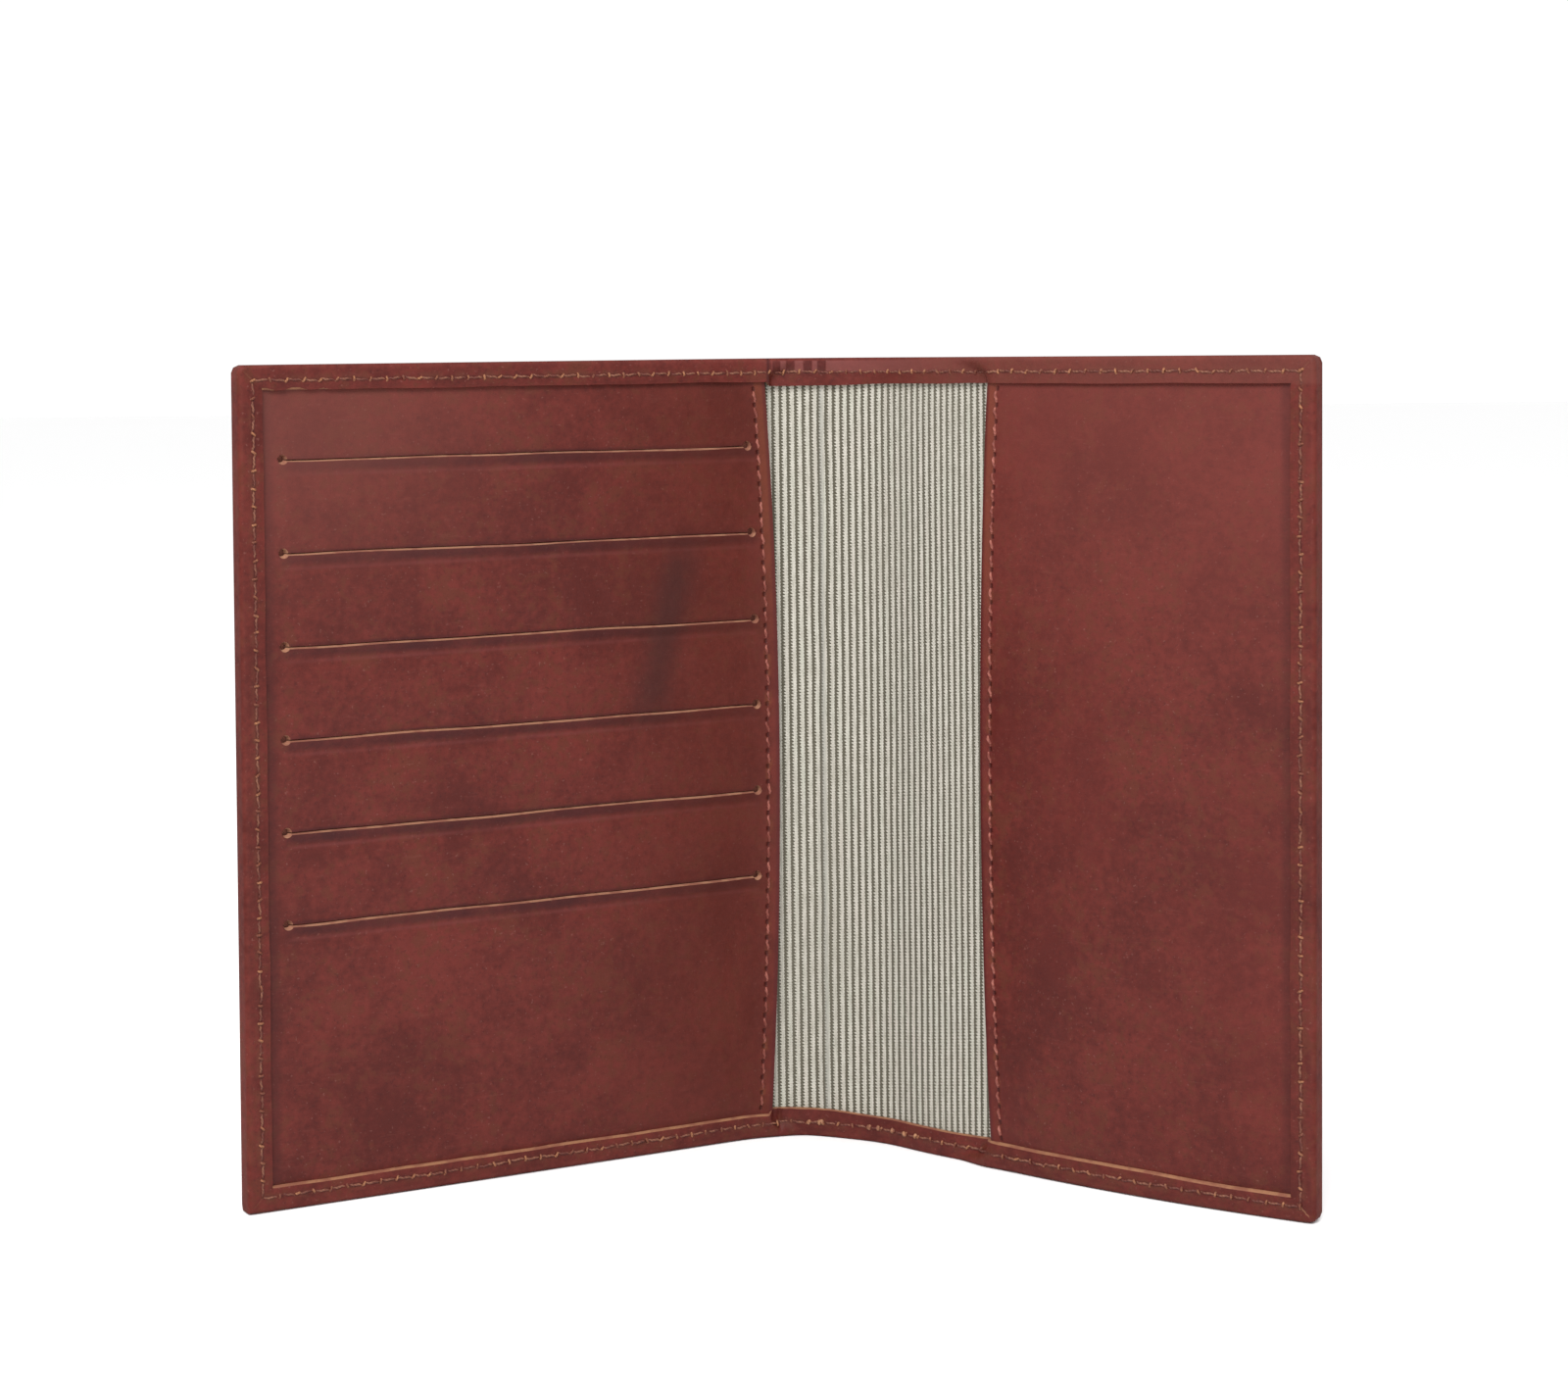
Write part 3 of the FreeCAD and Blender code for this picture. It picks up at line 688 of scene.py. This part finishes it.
for name, side, start in (("front_seam_filler", -1, 6.0), ("back_seam_filler", 1, 43.8)):
    strip = filler(name, side, start)
    strip.data.materials.append(board.data.materials[0])
    stand_up(strip)
    if side < 0:
        across_fold(strip)
    else:
        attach(strip, "back_cover")
    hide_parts(name)


# ---- Card pockets
# Six bags of thin brown cloth, each folded in half and glued behind its slit, lying behind one
# another like shingles. Only their dark mouths show through the slits.

SLITS = [HEIGHT - 15.5 - n * 15.38 for n in range(6)]
BAG_NEAR, BAG_FAR = -6.0, -99.2
BAG_CLOTH = 0.09
BAG_DEPTH = 38.0                 # from the slit down to the fold of the bag
BAG_FLAP = 4                     # how far the back leaf is glued above the slit
BAG_SLOPE = 0.26 / 15.35         # each bag leans back over the next one below

finish = Finish("pocket_cloth")
weave = (finish.reach * 14.0).sin() * (finish.height * 14.0).sin()
colour = finish.mix(weave * 0.5 + 0.5, (0.150, 0.040, 0.026), (0.230, 0.070, 0.045))
bag_cloth = finish.surface(colour, 0.9, finish.bump(weave, 0.4, 0.05))

for number, z_slit in enumerate(SLITS, start=1):
    bag_columns, floor = lines(BAG_FAR, BAG_NEAR, 1.6), z_slit - BAG_DEPTH
    leaves = []
    for back, lip in ((0.0, z_slit - 1), (0.15, z_slit + BAG_FLAP)):
        leaf = laid_flat("leaf", bag_columns, lines(floor, lip, 6), BAG_CLOTH, 0.0)
        points = points_of(leaf)
        fall = np.maximum(z_slit - 1 - points[:, 1], 0)
        points[:, 2] += PANEL_BACK - 0.1 - BAG_SLOPE * fall - back * (points[:, 1] < z_slit)
        set_points(leaf, points)
        leaves.append(leaf)
    fold = laid_flat("fold", bag_columns, [floor - BAG_CLOTH, floor], 0.24,
                     PANEL_BACK - 0.25 - BAG_SLOPE * (BAG_DEPTH - 1))
    bag = joined(leaves + [fold], "pocket_bag_" + str(number))
    bag.data.materials.append(bag_cloth)
    stand_up(bag)
    across_fold(bag)
    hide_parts("card_pocket_" + str(number))


# ---- Card panel
# A sheet of the same hide, 0.8 mm thick, with six slits cut by a die that also punches a round
# hole at each end. Cards have stretched it, so each lower lip stands out and the strips swell.

PANEL = 0.8
HOLE = 0.95
SLIT_NEAR, SLIT_FAR = -8.75, -96.4
CARD_BOW = (-5.6, -3.1, -5.6)    # reach of the worn open edge at its top, middle and bottom
PANEL_SEAM = 2.2                 # from the open edge to its seam
PANEL_STITCHES = 46
STITCH_MARGIN = 1.2              # from the folded edge to the seam's first stitch
PANEL_STITCH = (HEIGHT - 2 * TURNED - 2 * STITCH_MARGIN) / PANEL_STITCHES


def open_edge(height, top, middle, bottom):
    """The reach of a panel's open edge, which bows between its two ends."""
    t = height / HEIGHT
    return bottom * (1 - t) * (1 - 2 * t) + middle * 4 * t * (1 - t) + top * t * (2 * t - 1)


by_slit = (-4.6, -3.6, -2.9, -2.3, -1.7, -1.2, -0.8, 0.8, 1.4, 2.4, 4.0, 6.0, 8.0)
columns = lines(-99.9, -97, 0.7) + lines(-96.8, -93.2, 0.6) + lines(-92, -11, 1.0)
columns += lines(-10, -6.2, 0.5) + [-5.8, -5.3, -4.9, -4.6, CARD_EDGE] + [-REACH + TUCK, -102, -101]
rows = [TUCK, 2, 3, 3.8, 4.3, 4.8, 5.4, 6.2, 7.4] + lines(9, 42, 1.5)
rows += [HEIGHT - e for e in (TUCK, 2, 3, 3.8, 4.3, 4.8, 5.4, 6.2, 7.4, 9)]
rows += [z_slit + e for z_slit in SLITS for e in by_slit]
card_panel = laid_flat("card_panel", columns, rows, PANEL, PANEL_BACK)

# the die: a slanting blade for each slit with a tapered punch at either end
cutters = []
for z_slit in SLITS:
    bpy.ops.object.select_all(action="DESELECT")
    middle, length = (SLIT_NEAR + SLIT_FAR) / 2, SLIT_NEAR - SLIT_FAR
    bpy.ops.mesh.primitive_cube_add(size=1, location=(middle, z_slit, PANEL_BACK + PANEL / 2),
                                    scale=(length, 1, PANEL + 0.4))
    bpy.ops.object.transform_apply(location=True, scale=True)
    blade = bpy.context.object
    points = points_of(blade)
    front = points[:, 2] > PANEL_BACK + PANEL / 2
    high = points[:, 1] > z_slit
    points[:, 1] = z_slit + np.where(high, np.where(front, 0.07, 0.05),
                                     np.where(front, -0.40, -0.02))
    set_points(blade, points)
    cutters.append(blade)
    for reach in (SLIT_NEAR, SLIT_FAR):
        bpy.ops.object.select_all(action="DESELECT")
        bpy.ops.mesh.primitive_cone_add(vertices=28, radius1=HOLE * 0.55, radius2=HOLE * 0.95,
                                        depth=PANEL + 0.4,
                                        location=(reach, z_slit, PANEL_BACK + PANEL / 2))
        bpy.ops.object.transform_apply(location=True)
        punch = bpy.context.object
        points = points_of(punch)
        deep = points[:, 2] < PANEL_BACK + PANEL / 2
        points[deep, 0] -= 0.32
        points[deep, 1] += 0.2
        set_points(punch, points)
        modify(punch, "TRIANGULATE")
        cutters.append(punch)
slit_edge = raw_edge("slit_edge", (0.29, 0.130, 0.072))
for cutter in cutters:
    cutter.data.materials.append(slit_edge)
die = joined(cutters, "die")

finish = Finish("card_panel_leather")
colour = hide_colours(finish, 2.0)
drops = [z_slit - finish.height for z_slit in SLITS]
# painted shade in a band under each slit's lower lip and on the lower edge of the strip above it
below = sum(drop.rise(0.0, 0.5) * (1 - drop.rise(1.2, 2.3)) + drop.hump(-0.25, 0.5) * 0.8
            for drop in drops)
# painted highlight where each strip rises again below that shaded band
above = sum(drop.hump(2.5, 0.55) for drop in drops)
within = finish.reach.rise(-97.5, -95.0) * (1 - finish.reach.rise(-8.4, -6.6))
uneven = finish.noise(0.12, 2.0, 0.5, (1, 0.4, 1), (2, 6, 0)).rise(0.25, 0.7) * 0.5 + 0.5
colour = finish.mix(below * within * uneven * 0.62, colour, (0.030, 0.0060, 0.0075))
colour = finish.mix(above * within * uneven * 0.34, colour, (0.14, 0.032, 0.030))
# painted shadow along the panel beside the folded edge
fold_edge_shadow = (finish.reach + REACH - TURNED - 0.9).hump(0.0, 1.5)
colour = finish.mix(fold_edge_shadow * 0.45, colour, (0.040, 0.0075, 0.0070))
colour = finish.mix(finish.reach.rise(-50, -12) * 0.5, colour, (0.070, 0.0105, 0.0058))
# painted sheen: lighter over the upper part of the panel's outer end
upper = finish.height.rise(92, 134) * (1 - finish.reach.rise(-92, -35))
colour = finish.mix(upper * 0.55, colour, (0.120, 0.0330, 0.0265))
cloud = (finish.reach + 25.6 - (finish.height - 95) * 0.24).hump(0.0, 6.0)
cloud = cloud * finish.height.rise(72, 84) * (1 - finish.height.rise(102, 112))
cloud = cloud * finish.noise(0.09, 3.0, 0.6, (1.4, 0.8, 1), (9, 4, 0)).rise(0.25, 0.5)
colour = finish.mix(cloud * 0.65, colour, (0.036, 0.0105, 0.0090))


def worn_and_shaded_margin(finish, colour, out, seam):
    """The strip outside a panel's seam: rubbed red beside the thread, with painted shade at the
    very edge.
    """
    margin = out.rise(-0.2, 0.3) * finish.noise(0.25, 2.0, 0.5, (1, 1, 1), (2, 2, 0)).rise(0.3, 0.7)
    colour = finish.mix(margin * 0.5, colour, (0.122, 0.0185, 0.0130))
    stained = finish.noise(0.35, 2.0, 0.5, (1, 1, 1), (7, 2, 0)).rise(0.5, 0.66)
    aged = finish.height.rise(84, 112) * out.rise(-0.4, 0.2) * 0.3
    colour = finish.mix((stained * out.hump(0.1, 1.1) * 0.45).most(aged), colour,
                        (0.145, 0.044, 0.017))
    # painted shade along the very edge of the panel
    colour = finish.mix(out.rise(seam - 1.0, seam - 0.3) * 0.65, colour, (0.058, 0.008, 0.009))
    step = (finish.height - TURNED - STITCH_MARGIN) / PANEL_STITCH
    hole = (step + 0.5).fract() - 0.5
    hole = abs(hole).rise(0.17, 0.08) * (out + 0.16).hump(0.0, 0.5)
    return finish.mix(hole * 0.65, colour, (0.026, 0.004, 0.004)), hole


out = finish.reach - (open_edge(finish.height, *CARD_BOW) - PANEL_SEAM)
colour, hole = worn_and_shaded_margin(finish, colour, out, PANEL_SEAM)
roughness = finish.noise(0.25, 3.0, 0.6, (1, 1, 1), (6, 1, 0)).rise(0.2, 0.8) * 0.16 + 0.38
normal = finish.bump(1 - hole, 0.8, 0.3, grain(finish, 0.28))
card_panel.data.materials.append(
    finish.surface(colour, roughness, normal, Specular_IOR_Level=0.16))

modify(card_panel, "BOOLEAN", operation="DIFFERENCE", object=die, solver="EXACT",
       material_mode="TRANSFER", use_self=True)
bpy.data.objects.remove(die)


def swell(points, open_side):
    """How far a pocket panel stands out from its flat place, away from the folded edges."""
    side, level = inset_of(points)
    near = np.minimum(side, level) - TURNED
    rise = 0.30 * smooth(0.2, 4.5, near) + 0.25 * smooth(2, 24, near)
    rise -= 0.22 * np.exp(-(np.maximum(near, 0) / 0.7) ** 2)
    return rise * (0.25 + 0.75 * smooth(0.4, 9.0, open_side))


points = points_of(card_panel)
reach, height = points[:, 0].copy(), points[:, 1].copy()
inner = smooth(-99.0, -96.0, reach)
lift = swell(points, CARD_EDGE - reach)
for number, z_slit in enumerate(SLITS):
    drop = z_slit - height
    ends = smooth(SLIT_FAR - 1.6, SLIT_FAR + 8, reach)
    ends = ends * smooth(SLIT_NEAR + 1.6, SLIT_NEAR - 8, reach)
    wide = 0.55 + 0.45 * ends
    lip = np.where(drop > -0.03, np.exp(-(np.maximum(drop, 0) / 1.5) ** 2), 0.0)
    dent = np.exp(-((drop - 2.6) / 1.0) ** 2)
    upper = np.where(drop <= -0.03, np.exp(-((-drop) / 2.2) ** 2), 0.0)
    strength = 1 + 0.25 * ripple(reach, number * 1.9, 19)
    lips = 0.42 * lip - 0.20 * dent - 0.22 * upper
    lift += strength * wide * inner * smooth(-4.4, -7.5, reach) * lips
    belly = np.sin(math.pi * np.clip((drop - 2.6) / 12.4, 0, 1))
    lift += 0.14 * np.where((drop > 2.6) & (drop < 15.35), belly, 0) * ends
lift += 0.07 * ripple(reach * 0.8 + height * 0.35, 2.0, 24) * smooth(99.5, 94, abs(reach))
points[:, 2] += lift
sway = np.zeros(len(points))
for number, z_slit in enumerate(SLITS):
    near = np.exp(-((height - z_slit) / 2.5) ** 2)
    sway += near * 0.16 * ripple(reach, number * 2.7 + 1, 17)
points[:, 1] += sway * smooth(-97, -90, reach) * smooth(-6, -12, reach)
bow = open_edge(height, *CARD_BOW) - CARD_EDGE
points[:, 0] += bow * smooth(-30, CARD_EDGE, reach)
set_points(card_panel, points)


def seam_spots(panel, top, middle, bottom, inset):
    """Where the stitches along a panel's open edge lie, on the panel's own face."""
    points = points_of(panel)
    points = points[points[:, 2] > PANEL_BACK + 0.5]
    spots = []
    for n in range(PANEL_STITCHES):
        height = TURNED + STITCH_MARGIN + (n + 0.5) * PANEL_STITCH
        reach = float(open_edge(height, top, middle, bottom)) + inset
        lean = math.atan((open_edge(height + 1, top, middle, bottom)
                          - open_edge(height - 1, top, middle, bottom)) / 2)
        apart = (points[:, 0] - reach) ** 2 + (points[:, 1] - height) ** 2
        face = points[np.argsort(apart)[:4], 2].mean()
        spots.append((reach, height, face + 0.09, math.pi / 2 - lean, True))
    return spots


card_spots = seam_spots(card_panel, *CARD_BOW, -PANEL_SEAM)
select(card_panel)
bpy.ops.object.shade_smooth_by_angle(angle=math.radians(38))
stand_up(card_panel)
across_fold(card_panel)
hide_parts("card_panel")


# ---- Passport panel
# A plain sheet of the hide, sewn down on three sides. Its fourth side, beside the spine, is open,
# and the passport's back cover slides in there.

PASSPORT_BOW = (43.1, 40.9, 42.9)    # as the card panel's, top, middle and bottom

columns = [PASSPORT_EDGE + e for e in (0, 0.25, 0.6, 1.0, 1.5, 2.2, 3.0)] + lines(45, 96, 1.6)
columns += lines(97, 100, 0.6) + [101, 102, REACH - TUCK]
rows = [TUCK, 2, 3, 3.6, 4.2, 4.8, 5.4, 6.2, 7.4] + lines(9, HEIGHT - 9, 2.0)
rows += [HEIGHT - e for e in (TUCK, 2, 3, 3.6, 4.2, 4.8, 5.4, 6.2, 7.4)]
passport_panel = laid_flat("passport_panel", columns, rows, PANEL, PANEL_BACK)
points = points_of(passport_panel)
reach, height = points[:, 0].copy(), points[:, 1].copy()

# the two long corners of its open edge are rubbed round
corner = np.clip(1 - abs(reach - PASSPORT_EDGE) / 0.5, 0, 1)
points[:, 2] -= (points[:, 2] - (PANEL_BACK + PANEL / 2)) * 0.45 * corner ** 2
points[:, 2] += swell(points, reach - PASSPORT_EDGE) * 1.1
swells = smooth(2, 12, reach - PASSPORT_EDGE)
points[:, 2] += 0.12 * ripple(height * 0.5 + reach * 0.9, 4.0, 30) * swells
seam_dip = np.exp(-((reach - PASSPORT_EDGE - PANEL_SEAM) / 0.6) ** 2)
points[:, 2] -= 0.12 * seam_dip * (points[:, 2] > PANEL_BACK + 0.3)
bow = open_edge(height, *PASSPORT_BOW) - PASSPORT_EDGE
points[:, 0] += bow * smooth(REACH - 30, PASSPORT_EDGE, reach)
set_points(passport_panel, points)

finish = Finish("passport_panel_leather")
colour = hide_colours(finish, 23.0)
redder = finish.noise(0.03, 3.0, 0.6, (1, 0.7, 1), (14, 2, 0)).rise(0.42, 0.62)
colour = finish.mix(redder * 0.3, colour, (0.110, 0.0150, 0.0115))
sheen = finish.height.rise(70, 135)
colour = finish.mix(sheen * 0.4, colour, (0.132, 0.0290, 0.0235))
# painted shadow along the panel beside the folded edge
fold_edge_shadow = (finish.reach - REACH + TURNED + 0.9).hump(0.0, 1.3)
colour = finish.mix(fold_edge_shadow * 0.35, colour, (0.040, 0.0075, 0.0070))
out = open_edge(finish.height, *PASSPORT_BOW) + PANEL_SEAM - finish.reach
colour, hole = worn_and_shaded_margin(finish, colour, out, PANEL_SEAM)
roughness = finish.noise(0.25, 3.0, 0.6, (1, 1, 1), (1, 7, 0)).rise(0.2, 0.8) * 0.16 + 0.40
normal = finish.bump(1 - hole, 0.8, 0.3, grain(finish, 0.28))
passport_panel.data.materials.append(
    finish.surface(colour, roughness, normal, Specular_IOR_Level=0.16))
passport_spots = seam_spots(passport_panel, *PASSPORT_BOW, PANEL_SEAM)
select(passport_panel)
bpy.ops.object.shade_smooth_by_angle(angle=math.radians(40))
stand_up(passport_panel)
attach(passport_panel, "back_cover")
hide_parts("passport_panel")


# ---- Sewing thread
# Bonded two-ply thread in a lock stitch: tan round the folded edge, rust along the panels' open
# edges. Each stitch lies a little aslant and dives into its needle holes.

STITCH = 2.95                    # from one needle hole to the next round the folded edge


def one_stitch(length, thick):
    """A short round bar that arches from one needle hole to the next, lying along X."""
    bpy.ops.object.select_all(action="DESELECT")
    bpy.ops.mesh.primitive_cylinder_add(vertices=6, radius=thick, depth=length,
                                        rotation=(0, math.pi / 2, 0))
    bpy.ops.object.transform_apply(rotation=True)
    bar = bpy.context.object
    for cut in (-0.36, -0.18, 0.0, 0.18, 0.36):
        bpy.ops.object.mode_set(mode="EDIT")
        bpy.ops.mesh.select_all(action="SELECT")
        bpy.ops.mesh.bisect(plane_co=(cut * length, 0, 0), plane_no=(1, 0, 0))
        bpy.ops.object.mode_set(mode="OBJECT")
    points = points_of(bar)
    t = points[:, 0] / (length / 2)
    points[:, 2] -= thick * 2.0 * abs(t) ** 3
    points[:, 1:] *= (1 - 0.3 * t ** 4)[:, None]
    points[:, 1] += 0.07 * np.sin(points[:, 0] * 4.0)
    set_points(bar, points)
    bpy.ops.object.shade_smooth()
    return bar


def thread_finish(name, light, deep):
    finish = Finish(name)
    ply = ((finish.reach + finish.height) * 9.0 + finish.depth * 8.0).sin() * 0.5 + 0.5
    worn = finish.noise(0.5, 2.0, 0.6, (1, 1, 1), (3, 4, 0)).rise(0.4, 0.62)
    colour = finish.mix(worn, deep, light)
    # painted shade in the grooves between the plies
    colour = finish.mix((1 - ply) * 0.4, colour, tuple(c * 0.4 for c in deep))
    return finish.surface(colour, 0.6, finish.bump(ply, 0.7, 0.1), Specular_IOR_Level=0.3)


def sew(name, places, bar, finish, slant=0.0, body=None, stray=0.08):
    """Copies one stitch to every place: reach, height, depth, turn, and whether it faces in."""
    rng = np.random.default_rng(len(places))
    source = points_of(bar)
    made = []
    for reach, height, depth, turn, faces_in in places:
        copy = bar.copy()
        copy.data = bar.data.copy()
        bpy.context.collection.objects.link(copy)
        aslant = turn + rng.normal(slant, stray) + (math.pi if rng.random() < 0.4 else 0)
        points = source.copy()
        points[:, 0] *= rng.uniform(0.9, 1.02)
        points[:, 2] = points[:, 2] * (1 if faces_in else -1)
        c, s = math.cos(aslant), math.sin(aslant)
        x, y = points[:, 0] * c - points[:, 1] * s, points[:, 0] * s + points[:, 1] * c
        sink = rng.uniform(0.0, 0.1)
        z = depth + points[:, 2] + (-sink if faces_in else sink)
        points = np.stack([reach + x + rng.normal(0, 0.06), height + y + rng.normal(0, 0.06), z],
                          axis=-1)
        set_points(copy, points)
        if not faces_in:
            copy.data.flip_normals()
        made.append(copy)
    piece = joined(made, name)
    piece.data.materials.clear()
    piece.data.materials.append(finish)
    stand_up(piece)
    if body:
        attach(piece, body)
    else:
        across_fold(piece)
    return piece


def stations(low, high):
    count = int(round((high - low) / STITCH))
    return [low + (n + 0.5) * (high - low) / count for n in range(count)]


def seam_depth(reach, height, faces_in):
    """The depth of the leather's face where a stitch lies."""
    if not faces_in:
        return 0.10
    apart = (folded_face[:, 0] - reach) ** 2 + (folded_face[:, 1] - height) ** 2
    return folded_face[np.argsort(apart)[:3], 2].mean() + 0.05


def seam_places(faces_in):
    """The seam that runs round all four sides, one stitch after another."""
    places = []
    for height in (SEAM, HEIGHT - SEAM):
        for reach in stations(-REACH + SEAM, REACH - SEAM):
            places.append((reach, height, seam_depth(reach, height, faces_in), 0.0, faces_in))
    for reach in (-REACH + SEAM, REACH - SEAM):
        for height in stations(SEAM, HEIGHT - SEAM):
            places.append((reach, height, seam_depth(reach, height, faces_in), math.pi / 2,
                           faces_in))
    return places


tan = thread_finish("tan_thread", (0.205, 0.080, 0.047), (0.112, 0.028, 0.019))
rust = thread_finish("rust_thread", (0.315, 0.100, 0.074), (0.180, 0.042, 0.030))
bar = one_stitch(STITCH * 0.98, 0.20)
inner_seam = sew("edge_seam_inside", seam_places(True), bar, tan)
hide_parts("front_edge_needle_thread", "back_edge_needle_thread")
bpy.data.objects.remove(bar)

# the outer thread shows inside as a small knot pulled up through every needle hole
knot = one_stitch(1.15, 0.22)
holes = [(reach + math.cos(turn) * STITCH / 2, height + math.sin(turn) * STITCH / 2,
          depth + 0.09, turn + 1.15, faces_in)
         for reach, height, depth, turn, faces_in in seam_places(True)]
bright_tan = thread_finish("pulled_thread", (0.31, 0.128, 0.060), (0.145, 0.040, 0.022))
knots = sew("edge_seam_knots", holes, knot, bright_tan, stray=0.5)
bpy.data.objects.remove(knot)

# a few lumps of beeswax sit on the seam at the foot of the spine
lump = one_stitch(1.25, 0.36)
wax = thread_finish("beeswax", (0.36, 0.175, 0.088), (0.24, 0.095, 0.052))
beads = [(reach, SEAM, seam_depth(reach, SEAM, True) + 0.08, 1.3, True)
         for reach in (2.0, 3.8, 4.4, 13.8, 15.7, 18.8, 21.6, 24.3)]
lumps = sew("beeswax_lumps", beads, lump, wax, stray=0.4)
bpy.data.objects.remove(lump)

bar = one_stitch(STITCH * 0.86, 0.24)
outer_seam = sew("edge_seam_outside", seam_places(False), bar, tan, 0.12)
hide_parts("front_edge_bobbin_thread", "back_edge_bobbin_thread")
bpy.data.objects.remove(bar)

bar = one_stitch(PANEL_STITCH * 0.84, 0.28)
card_seam = sew("card_panel_seam", card_spots, bar, rust, 0.1)
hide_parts("card_panel_thread")
passport_seam = sew("passport_panel_seam", passport_spots, bar, rust, 0.16, "back_cover")
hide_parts("passport_panel_thread")
bpy.data.objects.remove(bar)


# ---- Table, light and camera
# The open holder stands on a pale table in soft, even light, seen from a little above the middle
# of its open side.

finish = Finish("pale_table")
table_colour = finish.mix(finish.noise(0.02), (0.94, 0.94, 0.94), (0.96, 0.96, 0.96))
bpy.ops.object.select_all(action="DESELECT")
bpy.ops.mesh.primitive_grid_add(x_subdivisions=8, y_subdivisions=8, size=8.0,
                                location=(0, 2.0, -0.0001))
bpy.ops.object.transform_apply(location=True)
table = bpy.context.object
table.name = "pale_table"
table.data.materials.append(finish.surface(table_colour, 0.9))

world = bpy.data.worlds.new("soft_room")
bpy.context.scene.world = world
world.use_nodes = True
world.node_tree.nodes["Background"].inputs[0].default_value = (1.0, 1.0, 1.0, 1)
world.node_tree.nodes["Background"].inputs[1].default_value = 1.03


def lamp(name, place_at, aim, size, power):
    """A soft square lamp that shines at a place."""
    light = bpy.data.lights.new(name, "AREA")
    light.size, light.energy = size, power
    holder = bpy.data.objects.new(name, light)
    bpy.context.collection.objects.link(holder)
    holder.location = place_at
    away = np.array(place_at) - np.array(aim)
    holder.rotation_euler = (math.acos(away[2] / np.linalg.norm(away)), 0,
                             math.atan2(away[0], -away[1]))


lamp("overhead_soft_box", (-0.15, -0.75, 0.95), (0, 0, 0.07), 0.6, 13.0)

bpy.context.scene.view_settings.view_transform = "Standard"

camera = bpy.data.cameras.new("camera")
eye = bpy.data.objects.new("camera", camera)
bpy.context.collection.objects.link(eye)
camera.sensor_width = 36.0
camera.lens = 69.75
camera.clip_start = 0.01
camera.shift_y = -0.1106
eye.location = (-0.01056, -0.51260, 0.14272)
eye.rotation_mode = "XYZ"
turn, tilt, roll = math.radians(-1.42), math.radians(3.3), math.radians(-0.576)
eye.rotation_euler = (Matrix.Rotation(turn, 3, "Z") @ Matrix.Rotation(math.pi / 2 - tilt, 3, "X")
                      @ Matrix.Rotation(roll, 3, "Z")).to_euler()
bpy.context.scene.camera = eye
